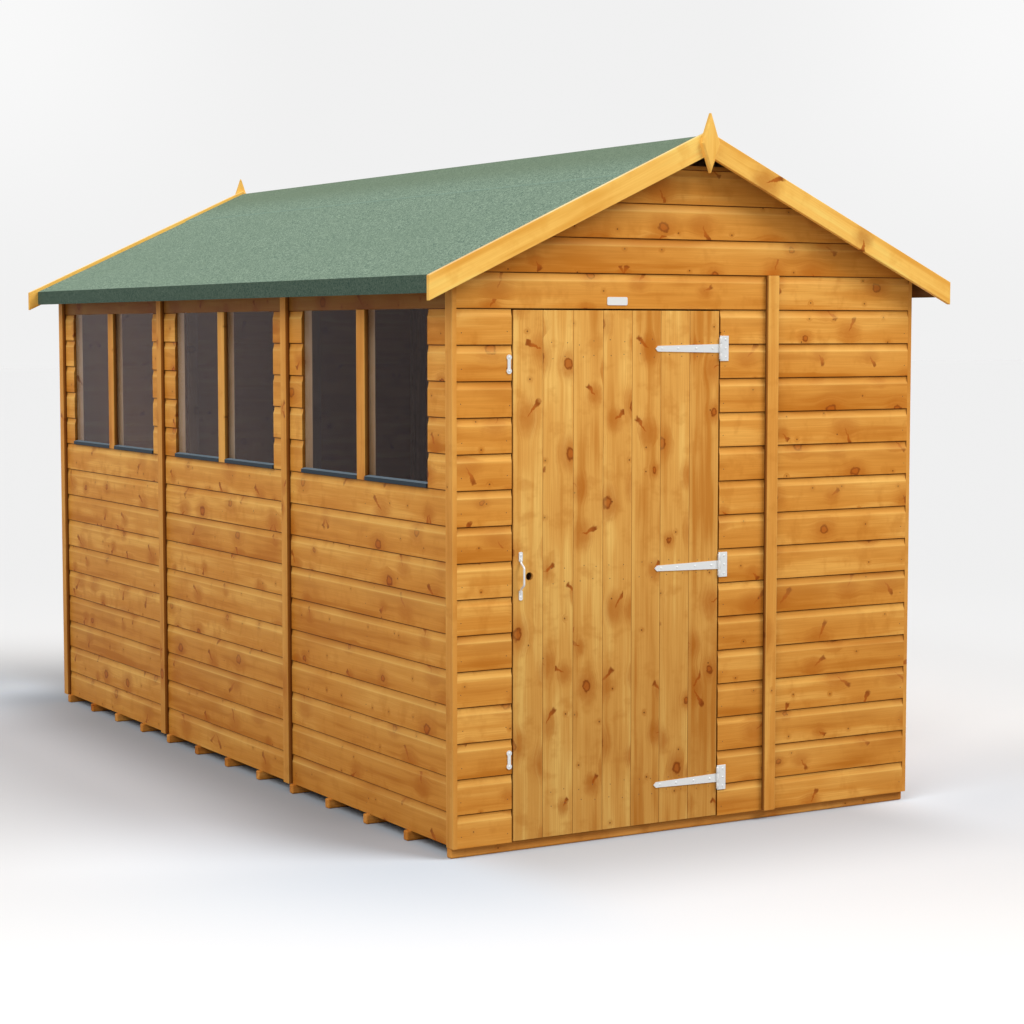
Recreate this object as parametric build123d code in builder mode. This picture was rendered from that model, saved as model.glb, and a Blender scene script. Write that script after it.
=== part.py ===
from build123d import *
import math
import os

# Wooden garden shed with an apex roof, in millimetres.
# The origin is on the ground under the middle of the shed, +Z is up,
# the door gable faces -Y and the windowed side wall faces -X.

# Driving sizes of the whole shed, over the outer faces of the cladding.
# ROOF_LIFT is how far the roof boards clear the wall tops at those faces.
SHED_LENGTH = 3572.0
SHED_WIDTH = 1774.0
EAVES_HEIGHT = 1818.6
ROOF_PITCH = 24.8
ROOF_LIFT = 13.7

# Shiplap boards: sill, head and eaves are so many boards above the first joint
FIRST_JOINT = 26.6
SILL_BOARD_COUNT = 10
HEAD_BOARD_COUNT = 15
EAVES_BOARD_COUNT = 16

# Timber sections
CLAD_THICK = 12.0
FRAME_WIDE = 44.0
FRAME_DEEP = 28.0
POST_SPACING = 600.0
STRIP_WIDE = 44.0
STRIP_THICK = 16.0
PANEL_GAP = 2.0

# Floor: the joists run out past the side cladding, which stands on their ends
JOIST_WIDE = 28.0
JOIST_HIGH = 33.0
JOIST_SPACING = 292.0
JOIST_OVERHANG = 14.0
LAST_JOIST_INSET = 20.0
DECK_THICK = 12.0
FLOOR_SETBACK = 18.0

# The narrow panel's share of the width, on the right of the front
NARROW_RATIO = 0.3298

# Side panels: the front one is longer than the others by SIDE_EXTRA
SIDE_PANELS = 3
SIDE_EXTRA = 59.0

# Windows in the left wall, evenly spaced between a front and a back margin
WINDOW_FRONT = 68.0
WINDOW_BACK = 24.0
WINDOW_PIER = 240.0
MULLION_WIDE = 60.0
GLASS_THICK = 3.0
SILL_HIGH = 17.0
SILL_PROUD = 6.0
SILL_LIP = 4.0

# Door leaf, its opening and its inner ledges
DOOR_LEFT = 200.0
DOOR_WIDE = 780.0
DOOR_BOTTOM = 36.0
DOOR_GAP = 5.0
LEDGE_WIDE = 95.0
LEDGE_THICK = 22.0
LEDGE_INSET = 30.0
BRACE_WIDE = 70.0
LOCK_HOLE = 26.0
LOCK_HOLE_X = 60.0

# Tee hinges: the strap turns with the door, the plate stays on the wall
HINGE_LOW = 125.0
HINGE_HIGH = 121.6
HINGE_THICK = 2.5
STRAP_LONG = 253.0
STRAP_ROOT = 28.0
STRAP_TIP = 18.0
PLATE_WIDE = 34.0
PLATE_HIGH = 82.0
KNUCKLE_RADIUS = 5.0
KNUCKLE_MIDDLE = 30.0
KNUCKLE_END = 20.0
KNUCKLE_PLAY = 0.5
PIN_RADIUS = 2.0
PIN_PLAY = 0.3

# Door pull: a round bar bowed between two flat tabs
PULL_HIGH = 152.0
PULL_TAB = 31.0
PULL_WIDE = 13.0
PULL_THICK = 2.5
PULL_REACH = 26.0
PULL_X = 27.0
PULL_LIFT = 2.5
PULL_BAR = 3.5
PULL_BEND = 9.0
PULL_RISE = 14.0

# Turn buttons, set in from the bottom and top of the door
BUTTON_LONG = 60.0
BUTTON_END = 9.0
BUTTON_WAIST = 11.0
BUTTON_THICK = 3.0
BUTTON_X = 10.0
BUTTON_LOW = 260.0
BUTTON_HIGH = 167.6

# Blank name plate over the door
NAME_PLATE_WIDE = 76.0
NAME_PLATE_HIGH = 26.0
NAME_PLATE_THICK = 2.0
NAME_PLATE_LEFT = 7.0
NAME_PLATE_LIFT = 24.4

# Roof
ROOF_BOARD = 12.0
FELT = 3.0
RIDGE_FELT_RUN = 310.0
GABLE_OVERHANG = 50.0
EAVES_REACH = 91.0
EAVES_BAND = 55.0
FASCIA_THICK = 12.0
RAFTER_THICK = 28.0
RAFTER_DEEP = 44.0
RIDGE_BEAM_DEEP = 95.0
PURLIN_WIDE = 44.0
PURLIN_DEEP = 28.0
GABLE_CUT_DROP = 76.0
BARGE_WIDE = 70.0
BARGE_THICK = 16.0
BARGE_REACH = 129.7
BARGE_PROUD = 12.0
FINIAL_HIGH = 190.0
FINIAL_WIDE = 70.0
FINIAL_THICK = 18.0
FINIAL_MID_RATIO = 0.49
FINIAL_RISE = 68.0
FINIAL_BEVEL = 5.0

# Places worked out from the sizes above
HALF_WIDE = SHED_WIDTH / 2
HALF_LONG = SHED_LENGTH / 2
FRONT_Y = -HALF_LONG
BACK_Y = HALF_LONG
LEFT_X = -HALF_WIDE
RIGHT_X = HALF_WIDE
CLAD_BOTTOM = JOIST_HIGH
DECK_TOP = JOIST_HIGH + DECK_THICK
BOARD_COVER = (EAVES_HEIGHT - FIRST_JOINT) / EAVES_BOARD_COUNT
WINDOW_BOTTOM = FIRST_JOINT + SILL_BOARD_COUNT * BOARD_COVER
WINDOW_TOP = FIRST_JOINT + HEAD_BOARD_COUNT * BOARD_COVER
SLOPE = math.tan(math.radians(ROOF_PITCH))
LEVEL = math.cos(math.radians(ROOF_PITCH))
RIDGE_UNDER = EAVES_HEIGHT + ROOF_LIFT + HALF_WIDE * SLOPE
RIDGE_BOARDS_TOP = RIDGE_UNDER + ROOF_BOARD / LEVEL
RIDGE_HEIGHT = RIDGE_BOARDS_TOP + 2 * FELT / LEVEL
EAVES_OUT = HALF_WIDE + EAVES_REACH
ROOF_FRONT = FRONT_Y - GABLE_OVERHANG
ROOF_LONG = SHED_LENGTH + 2 * GABLE_OVERHANG
GABLE_CUT = RIDGE_UNDER - GABLE_CUT_DROP
SIDE_PANEL = (SHED_LENGTH - SIDE_EXTRA) / SIDE_PANELS
WINDOW_PITCH = (SHED_LENGTH - WINDOW_FRONT - WINDOW_BACK) / SIDE_PANELS
WINDOW_WIDE = WINDOW_PITCH - WINDOW_PIER
DOOR_TOP = WINDOW_TOP - DOOR_GAP
DOOR_X0 = LEFT_X + DOOR_LEFT
DOOR_X1 = DOOR_X0 + DOOR_WIDE
OPENING_X0 = DOOR_X0 - DOOR_GAP
OPENING_X1 = DOOR_X1 + DOOR_GAP
PANEL_JOINT_X = RIGHT_X - SHED_WIDTH * NARROW_RATIO
WIDE_PANEL_X1 = PANEL_JOINT_X - PANEL_GAP / 2
NARROW_PANEL_X0 = PANEL_JOINT_X + PANEL_GAP / 2
HINGE_X = DOOR_X1 + DOOR_GAP / 2
HINGE_Y = FRONT_Y - KNUCKLE_RADIUS
HINGE_Z0 = DOOR_BOTTOM + HINGE_LOW
HINGE_Z1 = DOOR_TOP - HINGE_HIGH
HINGE_MID = (HINGE_Z0 + HINGE_Z1) / 2
HINGE_HEIGHTS = (HINGE_Z0, HINGE_MID, HINGE_Z1)
FRAME_IN = CLAD_THICK + FRAME_DEEP
POST_BOTTOM = DECK_TOP + FRAME_WIDE
POST_TOP = EAVES_HEIGHT - FRAME_WIDE

os.makedirs("parts", exist_ok=True)


def span_box(x0, x1, y0, y1, z0, z1):
    """Add a plain timber between two opposite corners to the open part."""
    with Locations(((x0 + x1) / 2, (y0 + y1) / 2, (z0 + z1) / 2)):
        Box(x1 - x0, y1 - y0, z1 - z0)


def facing_front(y):
    """Return the upright plane at y whose sketch x is X and sketch y is Z."""
    return Plane(origin=(0, y, 0), x_dir=(1, 0, 0), z_dir=(0, -1, 0))


def facing_left(x):
    """Return the upright plane at x whose sketch x is Y and sketch y is Z."""
    return Plane(origin=(x, 0, 0), x_dir=(0, 1, 0), z_dir=(1, 0, 0))


def roof_under(x):
    """Return the height of the underside of the roof boards at x."""
    return RIDGE_UNDER - abs(x) * SLOPE


def keep(part, node):
    """Label one finished piece and write it as its own file."""
    part.label = node
    export_step(part, f"parts/{node}.step")


def side_joints():
    """Return the Y of each side wall panel's two edges."""
    edges = [FRONT_Y + CLAD_THICK]
    for n in range(SIDE_PANELS - 1):
        edges.append(FRONT_Y + SIDE_EXTRA + (n + 1) * SIDE_PANEL)
    edges.append(BACK_Y - CLAD_THICK)
    return edges


def side_spans():
    """Return each side panel's front and back edge, with the gap taken off."""
    edges = side_joints()
    spans = []
    for n in range(SIDE_PANELS):
        front = edges[n] + (PANEL_GAP / 2 if n else 0)
        back = edges[n + 1] - (PANEL_GAP / 2 if n < SIDE_PANELS - 1 else 0)
        spans.append((front, back))
    return spans


def window_mid(n):
    """Return the Y of the middle of window n, counted from the front."""
    return FRONT_Y + WINDOW_FRONT + (n + 0.5) * WINDOW_PITCH


def post_lines(first, last):
    """Return evenly spaced post middles from first to last, both kept."""
    bays = max(1, round((last - first) / POST_SPACING))
    return [first + n * (last - first) / bays for n in range(bays + 1)]


# Floor: joists across the shed, carrying one deck
with BuildPart() as floor_joists:
    joist_run = SHED_LENGTH - 2 * FLOOR_SETBACK - LAST_JOIST_INSET - JOIST_WIDE
    joist_bays = round(joist_run / JOIST_SPACING)
    with Locations((0, -LAST_JOIST_INSET / 2, 0)):
        with GridLocations(0, joist_run / joist_bays, 1, joist_bays + 1):
            Box(SHED_WIDTH + 2 * JOIST_OVERHANG, JOIST_WIDE, JOIST_HIGH,
                align=(Align.CENTER, Align.CENTER, Align.MIN))
keep(floor_joists.part, "floor_joists")

with BuildPart() as floor_deck:
    span_box(LEFT_X + CLAD_THICK, RIGHT_X - CLAD_THICK,
             FRONT_Y + FLOOR_SETBACK, BACK_Y - FLOOR_SETBACK, JOIST_HIGH, DECK_TOP)
keep(floor_deck.part, "floor_deck")


def gable_points():
    """Return the corners of a gable's cladding, its apex cut flat."""
    cut_half = (RIDGE_UNDER - GABLE_CUT) / SLOPE
    return [(LEFT_X, EAVES_HEIGHT), (RIGHT_X, EAVES_HEIGHT),
            (RIGHT_X, roof_under(RIGHT_X)), (cut_half, GABLE_CUT),
            (-cut_half, GABLE_CUT), (LEFT_X, roof_under(LEFT_X))]


# Front wall: slabs beside and over the doorway, the narrow panel and the gable
front_slabs = {
    "front_wall_left_of_door": (LEFT_X, OPENING_X0, CLAD_BOTTOM, WINDOW_TOP),
    "front_wall_right_of_door": (OPENING_X1, WIDE_PANEL_X1, CLAD_BOTTOM, WINDOW_TOP),
    "front_wall_over_door": (LEFT_X, WIDE_PANEL_X1, WINDOW_TOP, EAVES_HEIGHT),
    "front_wall_narrow_panel": (NARROW_PANEL_X0, RIGHT_X, CLAD_BOTTOM, EAVES_HEIGHT),
}
for node, (x0, x1, z0, z1) in front_slabs.items():
    with BuildPart() as front_slab:
        span_box(x0, x1, FRONT_Y, FRONT_Y + CLAD_THICK, z0, z1)
    keep(front_slab.part, node)

with BuildPart() as front_gable:
    with BuildSketch(facing_front(FRONT_Y + CLAD_THICK)):
        with BuildLine():
            Polyline(gable_points(), close=True)
        make_face()
    extrude(amount=CLAD_THICK)
keep(front_gable.part, "front_gable")

# Back wall: the same two panels and gable, with no doorway
back_slabs = {
    "back_wall_wide_panel": (LEFT_X, WIDE_PANEL_X1),
    "back_wall_narrow_panel": (NARROW_PANEL_X0, RIGHT_X),
}
for node, (x0, x1) in back_slabs.items():
    with BuildPart() as back_slab:
        span_box(x0, x1, BACK_Y - CLAD_THICK, BACK_Y, CLAD_BOTTOM, EAVES_HEIGHT)
    keep(back_slab.part, node)

with BuildPart() as back_gable:
    with BuildSketch(facing_front(BACK_Y)):
        with BuildLine():
            Polyline(gable_points(), close=True)
        make_face()
    extrude(amount=CLAD_THICK)
keep(back_gable.part, "back_gable")

# Left wall cladding: below, beside and above the windows
with BuildPart() as left_wall_lower:
    for y0, y1 in side_spans():
        span_box(LEFT_X, LEFT_X + CLAD_THICK, y0, y1, CLAD_BOTTOM, WINDOW_BOTTOM)
keep(left_wall_lower.part, "left_wall_lower")

with BuildPart() as left_wall_piers:
    for n, (y0, y1) in enumerate(side_spans()):
        mid = window_mid(n)
        span_box(LEFT_X, LEFT_X + CLAD_THICK, y0, mid - WINDOW_WIDE / 2,
                 WINDOW_BOTTOM, WINDOW_TOP)
        span_box(LEFT_X, LEFT_X + CLAD_THICK, mid + WINDOW_WIDE / 2, y1,
                 WINDOW_BOTTOM, WINDOW_TOP)
keep(left_wall_piers.part, "left_wall_piers")

with BuildPart() as left_wall_head:
    for y0, y1 in side_spans():
        span_box(LEFT_X, LEFT_X + CLAD_THICK, y0, y1, WINDOW_TOP, EAVES_HEIGHT)
keep(left_wall_head.part, "left_wall_head")

# Windows: a mullion of strip timber, two panes and two sill strips in each
with BuildPart() as window_mullions:
    mullion_back = LEFT_X + CLAD_THICK
    for n in range(SIDE_PANELS):
        mid = window_mid(n)
        span_box(mullion_back - STRIP_THICK, mullion_back, mid - MULLION_WIDE / 2,
                 mid + MULLION_WIDE / 2, WINDOW_BOTTOM, WINDOW_TOP)
keep(window_mullions.part, "window_mullions")

with BuildPart() as window_glass:
    for n in range(SIDE_PANELS):
        mid = window_mid(n)
        for side in (-1, 1):
            edges = sorted((mid + side * FRAME_WIDE / 2, mid + side * WINDOW_WIDE / 2))
            span_box(LEFT_X + CLAD_THICK, LEFT_X + CLAD_THICK + GLASS_THICK,
                     edges[0], edges[1], WINDOW_BOTTOM, WINDOW_TOP)
keep(window_glass.part, "window_glass")

with BuildPart() as window_sills:
    for n in range(SIDE_PANELS):
        mid = window_mid(n)
        for side in (-1, 1):
            start = min(mid + side * MULLION_WIDE / 2, mid + side * WINDOW_WIDE / 2)
            with BuildSketch(Plane.XZ.offset(-start)):
                with BuildLine():
                    Polyline(
                        (LEFT_X - SILL_PROUD, WINDOW_BOTTOM),
                        (LEFT_X + CLAD_THICK, WINDOW_BOTTOM),
                        (LEFT_X + CLAD_THICK, WINDOW_BOTTOM + SILL_HIGH),
                        (LEFT_X - SILL_PROUD, WINDOW_BOTTOM + SILL_HIGH - SILL_LIP),
                        close=True)
                make_face()
            extrude(amount=-(WINDOW_WIDE - MULLION_WIDE) / 2)
keep(window_sills.part, "window_sills")

# Right wall cladding: three plain panels
with BuildPart() as right_wall_panels:
    for y0, y1 in side_spans():
        span_box(RIGHT_X - CLAD_THICK, RIGHT_X, y0, y1, CLAD_BOTTOM, EAVES_HEIGHT)
keep(right_wall_panels.part, "right_wall_panels")


# Wall frames: posts stand between a bottom rail on the deck and a top rail
FRAME_X0 = LEFT_X + CLAD_THICK
FRAME_X1 = RIGHT_X - CLAD_THICK
FRONT_FRAME_Y = FRONT_Y + CLAD_THICK
BACK_FRAME_Y = BACK_Y - CLAD_THICK - FRAME_DEEP
SIDE_FRAME_Y0 = FRONT_Y + FRAME_IN
SIDE_FRAME_Y1 = BACK_Y - FRAME_IN


def cross_posts(edges, y0):
    """Add full posts, each from its left edge, to a front or back wall."""
    for x in edges:
        span_box(x, x + FRAME_WIDE, y0, y0 + FRAME_DEEP, POST_BOTTOM, POST_TOP)


def cross_rail(x0, x1, y0, z0):
    """Add one level rail to a front or back wall."""
    span_box(x0, x1, y0, y0 + FRAME_DEEP, z0, z0 + FRAME_WIDE)


def side_frames():
    """Return each side wall frame's front and back end."""
    spans = side_spans()
    return [(max(y0, SIDE_FRAME_Y0), min(y1, SIDE_FRAME_Y1)) for y0, y1 in spans]


def side_post(x0, y0, z0, z1):
    """Add one post to a side wall, from its front edge."""
    span_box(x0, x0 + FRAME_DEEP, y0, y0 + FRAME_WIDE, z0, z1)


def side_rail(x0, y0, y1, z0):
    """Add one level rail to a side wall."""
    span_box(x0, x0 + FRAME_DEEP, y0, y1, z0, z0 + FRAME_WIDE)


with BuildPart() as front_wall_posts:
    cross_posts((FRAME_X0, OPENING_X0 - FRAME_WIDE, OPENING_X1,
                 WIDE_PANEL_X1 - FRAME_WIDE, NARROW_PANEL_X0,
                 FRAME_X1 - FRAME_WIDE), FRONT_FRAME_Y)
keep(front_wall_posts.part, "front_wall_posts")

with BuildPart() as front_wall_rails:
    for x0, x1 in ((FRAME_X0, OPENING_X0), (OPENING_X1, WIDE_PANEL_X1),
                   (NARROW_PANEL_X0, FRAME_X1)):
        cross_rail(x0, x1, FRONT_FRAME_Y, DECK_TOP)
    cross_rail(FRAME_X0, WIDE_PANEL_X1, FRONT_FRAME_Y, POST_TOP)
    cross_rail(NARROW_PANEL_X0, FRAME_X1, FRONT_FRAME_Y, POST_TOP)
keep(front_wall_rails.part, "front_wall_rails")

with BuildPart() as back_wall_posts:
    wide_lines = post_lines(FRAME_X0, WIDE_PANEL_X1 - FRAME_WIDE)
    cross_posts(wide_lines + [NARROW_PANEL_X0, FRAME_X1 - FRAME_WIDE], BACK_FRAME_Y)
keep(back_wall_posts.part, "back_wall_posts")

with BuildPart() as back_wall_rails:
    for z0 in (DECK_TOP, POST_TOP):
        cross_rail(FRAME_X0, WIDE_PANEL_X1, BACK_FRAME_Y, z0)
        cross_rail(NARROW_PANEL_X0, FRAME_X1, BACK_FRAME_Y, z0)
keep(back_wall_rails.part, "back_wall_rails")

LEFT_FRAME_X = LEFT_X + CLAD_THICK
RIGHT_FRAME_X = RIGHT_X - CLAD_THICK - FRAME_DEEP
SILL_RAIL_Z = WINDOW_BOTTOM - FRAME_WIDE

with BuildPart() as left_wall_posts:
    for n, (y0, y1) in enumerate(side_frames()):
        mid = window_mid(n)
        for y in (y0, mid - WINDOW_WIDE / 2 - FRAME_WIDE, mid + WINDOW_WIDE / 2,
                  y1 - FRAME_WIDE):
            side_post(LEFT_FRAME_X, y, POST_BOTTOM, POST_TOP)
        side_post(LEFT_FRAME_X, mid - FRAME_WIDE / 2, POST_BOTTOM, SILL_RAIL_Z)
        side_post(LEFT_FRAME_X, mid - FRAME_WIDE / 2, WINDOW_BOTTOM, WINDOW_TOP)
keep(left_wall_posts.part, "left_wall_posts")

with BuildPart() as left_wall_rails:
    for n, (y0, y1) in enumerate(side_frames()):
        mid = window_mid(n)
        for z0 in (DECK_TOP, POST_TOP):
            side_rail(LEFT_FRAME_X, y0, y1, z0)
        for z0 in (SILL_RAIL_Z, WINDOW_TOP):
            side_rail(LEFT_FRAME_X, mid - WINDOW_WIDE / 2, mid + WINDOW_WIDE / 2, z0)
keep(left_wall_rails.part, "left_wall_rails")

with BuildPart() as right_wall_posts:
    for y0, y1 in side_frames():
        for y in post_lines(y0, y1 - FRAME_WIDE):
            side_post(RIGHT_FRAME_X, y, POST_BOTTOM, POST_TOP)
keep(right_wall_posts.part, "right_wall_posts")

with BuildPart() as right_wall_rails:
    for y0, y1 in side_frames():
        for z0 in (DECK_TOP, POST_TOP):
            side_rail(RIGHT_FRAME_X, y0, y1, z0)
keep(right_wall_rails.part, "right_wall_rails")

# Corner strips lie on the side walls, flush with the front and back cladding
with BuildPart() as corner_strips:
    for y0 in (FRONT_Y, BACK_Y - STRIP_WIDE):
        for x0 in (LEFT_X - STRIP_THICK, RIGHT_X):
            span_box(x0, x0 + STRIP_THICK, y0, y0 + STRIP_WIDE,
                     CLAD_BOTTOM, EAVES_HEIGHT)
keep(corner_strips.part, "corner_strips")

# Cover strips hide the joints between panels
with BuildPart() as cover_strips:
    for joint in side_joints()[1:-1]:
        for x0 in (LEFT_X - STRIP_THICK, RIGHT_X):
            span_box(x0, x0 + STRIP_THICK, joint - STRIP_WIDE / 2,
                     joint + STRIP_WIDE / 2, CLAD_BOTTOM, EAVES_HEIGHT)
    for y0 in (FRONT_Y - STRIP_THICK, BACK_Y):
        span_box(PANEL_JOINT_X - STRIP_WIDE / 2, PANEL_JOINT_X + STRIP_WIDE / 2,
                 y0, y0 + STRIP_THICK, CLAD_BOTTOM, EAVES_HEIGHT)
keep(cover_strips.part, "cover_strips")

# Roof frame: a ridge beam, four pairs of rafters with ties, and purlins
RAFTER_PLUMB = RAFTER_DEEP / LEVEL
RAFTER_ROOT = RAFTER_THICK / 2
RAFTER_END = HALF_WIDE - CLAD_THICK
FOOT_X = (RIDGE_UNDER - RAFTER_PLUMB - EAVES_HEIGHT) / SLOPE
TIE_TOP = EAVES_HEIGHT + FRAME_WIDE
TIE_TOP_X = (RIDGE_UNDER - RAFTER_PLUMB - TIE_TOP) / SLOPE
GABLE_RAFTER_TOP_X = (RIDGE_UNDER - GABLE_CUT) / SLOPE
GABLE_RAFTER_LOW_X = (RIDGE_UNDER - RAFTER_PLUMB - GABLE_CUT) / SLOPE


def truss_backs():
    """Return the back face Y of each of the four frames under the roof."""
    inner = [joint + RAFTER_THICK / 2 for joint in side_joints()[1:-1]]
    return [FRONT_FRAME_Y + RAFTER_THICK] + inner + [BACK_Y - CLAD_THICK]


def rafter_points(side, flat_top):
    """Return one rafter's corners, seated on the wall, plumb or flat on top."""
    if flat_top:
        top = [(GABLE_RAFTER_TOP_X, GABLE_CUT),
               (max(GABLE_RAFTER_LOW_X, RAFTER_ROOT), GABLE_CUT)]
    else:
        top = [(RAFTER_ROOT, roof_under(RAFTER_ROOT)),
               (RAFTER_ROOT, roof_under(RAFTER_ROOT) - RAFTER_PLUMB)]
    points = top + [(FOOT_X, EAVES_HEIGHT), (RAFTER_END, EAVES_HEIGHT),
                    (RAFTER_END, roof_under(RAFTER_END))]
    return [(side * x, z) for x, z in points]


with BuildPart() as rafters:
    frames = truss_backs()
    for n, y in enumerate(frames):
        for side in (-1, 1):
            with BuildSketch(facing_front(y)):
                with BuildLine():
                    Polyline(rafter_points(side, n in (0, len(frames) - 1)), close=True)
                make_face()
            extrude(amount=RAFTER_THICK)
keep(rafters.part, "rafters")

with BuildPart() as roof_ties:
    for y in truss_backs():
        with BuildSketch(facing_front(y)):
            with BuildLine():
                Polyline((-FOOT_X, EAVES_HEIGHT), (FOOT_X, EAVES_HEIGHT),
                         (TIE_TOP_X, TIE_TOP), (-TIE_TOP_X, TIE_TOP), close=True)
            make_face()
        extrude(amount=RAFTER_THICK)
keep(roof_ties.part, "roof_ties")

with BuildPart() as ridge_beam:
    with BuildSketch(facing_front(BACK_FRAME_Y)):
        with BuildLine():
            Polyline(
                (-RAFTER_ROOT, RIDGE_UNDER - RIDGE_BEAM_DEEP),
                (RAFTER_ROOT, RIDGE_UNDER - RIDGE_BEAM_DEEP),
                (RAFTER_ROOT, roof_under(RAFTER_ROOT)), (0, RIDGE_UNDER),
                (-RAFTER_ROOT, roof_under(RAFTER_ROOT)), close=True)
        make_face()
    extrude(amount=BACK_FRAME_Y - FRONT_FRAME_Y - RAFTER_THICK)
keep(ridge_beam.part, "ridge_beam")

PURLIN_X0 = HALF_WIDE / 2
PURLIN_X1 = PURLIN_X0 + PURLIN_WIDE * LEVEL
PURLIN_IN = PURLIN_DEEP * math.sin(math.radians(ROOF_PITCH))
PURLIN_DROP = PURLIN_DEEP * LEVEL


def purlin_bays():
    """Return the back end and length of each stretch between two frames."""
    backs = truss_backs()
    bays = []
    for n in range(len(backs) - 1):
        back_end = backs[n + 1] - RAFTER_THICK
        bays.append((back_end, back_end - backs[n]))
    return bays


with BuildPart() as purlins:
    for back_end, run in purlin_bays():
        for side in (-1, 1):
            with BuildSketch(facing_front(back_end)):
                with BuildLine():
                    Polyline(
                        (side * PURLIN_X0, roof_under(PURLIN_X0)),
                        (side * PURLIN_X1, roof_under(PURLIN_X1)),
                        (side * (PURLIN_X1 - PURLIN_IN),
                         roof_under(PURLIN_X1) - PURLIN_DROP),
                        (side * (PURLIN_X0 - PURLIN_IN),
                         roof_under(PURLIN_X0) - PURLIN_DROP), close=True)
                make_face()
            extrude(amount=run)
keep(purlins.part, "purlins")

with BuildPart() as eaves_rails:
    for back_end, run in purlin_bays():
        for side in (-1, 1):
            with BuildSketch(facing_front(back_end)):
                with BuildLine():
                    Polyline(
                        (side * RAFTER_END, EAVES_HEIGHT),
                        (side * RAFTER_END, roof_under(RAFTER_END)),
                        (side * (RAFTER_END - FRAME_DEEP),
                         roof_under(RAFTER_END - FRAME_DEEP)),
                        (side * (RAFTER_END - FRAME_DEEP), EAVES_HEIGHT), close=True)
                make_face()
            extrude(amount=run)
keep(eaves_rails.part, "eaves_rails")

# Roof covering: boards, eaves fascias, two felt sheets and the ridge felt
FASCIA_X = EAVES_OUT - FELT
FASCIA_BOTTOM = RIDGE_BOARDS_TOP + FELT / LEVEL - EAVES_OUT * SLOPE - EAVES_BAND
ROOF_BACK = ROOF_FRONT + ROOF_LONG


def boards_top(x):
    """Return the height of the top of the roof boards at x."""
    return RIDGE_BOARDS_TOP - abs(x) * SLOPE


def felt_top(x):
    """Return the height of the top of the lower felt at x."""
    return boards_top(x) + FELT / LEVEL


for side, hand in ((-1, "left"), (1, "right")):
    with BuildPart() as roof_boards:
        with BuildSketch(facing_front(ROOF_BACK)):
            with BuildLine():
                Polyline((0, RIDGE_UNDER), (0, RIDGE_BOARDS_TOP),
                         (side * FASCIA_X, boards_top(FASCIA_X)),
                         (side * FASCIA_X, roof_under(FASCIA_X)), close=True)
            make_face()
        extrude(amount=ROOF_LONG)
    keep(roof_boards.part, f"roof_boards_{hand}")

    with BuildPart() as roof_felt:
        with BuildSketch(facing_front(ROOF_BACK)):
            with BuildLine():
                Polyline((0, boards_top(0)), (0, felt_top(0)),
                         (side * EAVES_OUT, felt_top(EAVES_OUT)),
                         (side * EAVES_OUT, FASCIA_BOTTOM),
                         (side * FASCIA_X, FASCIA_BOTTOM),
                         (side * FASCIA_X, boards_top(FASCIA_X)), close=True)
            make_face()
        extrude(amount=ROOF_LONG)
    keep(roof_felt.part, f"roof_felt_{hand}")

RIDGE_FELT_X = RIDGE_FELT_RUN * LEVEL
with BuildPart() as ridge_felt:
    with BuildSketch(facing_front(ROOF_BACK)):
        with BuildLine():
            Polyline((-RIDGE_FELT_X, felt_top(RIDGE_FELT_X)), (0, felt_top(0)),
                     (RIDGE_FELT_X, felt_top(RIDGE_FELT_X)),
                     (RIDGE_FELT_X, felt_top(RIDGE_FELT_X) + FELT / LEVEL),
                     (0, RIDGE_HEIGHT),
                     (-RIDGE_FELT_X, felt_top(RIDGE_FELT_X) + FELT / LEVEL),
                     close=True)
        make_face()
    extrude(amount=ROOF_LONG)
keep(ridge_felt.part, "ridge_felt")

with BuildPart() as eaves_fascias:
    for side in (-1, 1):
        with BuildSketch(facing_front(ROOF_BACK)):
            with BuildLine():
                Polyline((side * FASCIA_X, FASCIA_BOTTOM),
                         (side * FASCIA_X, roof_under(FASCIA_X)),
                         (side * (FASCIA_X - FASCIA_THICK),
                          roof_under(FASCIA_X - FASCIA_THICK)),
                         (side * (FASCIA_X - FASCIA_THICK), FASCIA_BOTTOM),
                         close=True)
            make_face()
        extrude(amount=ROOF_LONG)
keep(eaves_fascias.part, "eaves_fascias")

# Bargeboards: a mitred pair on each gable, cut plumb at the eaves
BARGE_TOP = RIDGE_HEIGHT + BARGE_PROUD
BARGE_END = HALF_WIDE + BARGE_REACH
BARGE_PLUMB = BARGE_WIDE / LEVEL
for side, hand in ((-1, "left"), (1, "right")):
    with BuildPart() as bargeboards:
        for back_y in (ROOF_FRONT, ROOF_BACK + BARGE_THICK):
            with BuildSketch(facing_front(back_y)):
                with BuildLine():
                    Polyline(
                        (0, BARGE_TOP),
                        (side * BARGE_END, BARGE_TOP - BARGE_END * SLOPE),
                        (side * BARGE_END, BARGE_TOP - BARGE_END * SLOPE - BARGE_PLUMB),
                        (0, BARGE_TOP - BARGE_PLUMB), close=True)
                make_face()
            extrude(amount=BARGE_THICK)
    keep(bargeboards.part, f"bargeboards_{hand}")

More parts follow.
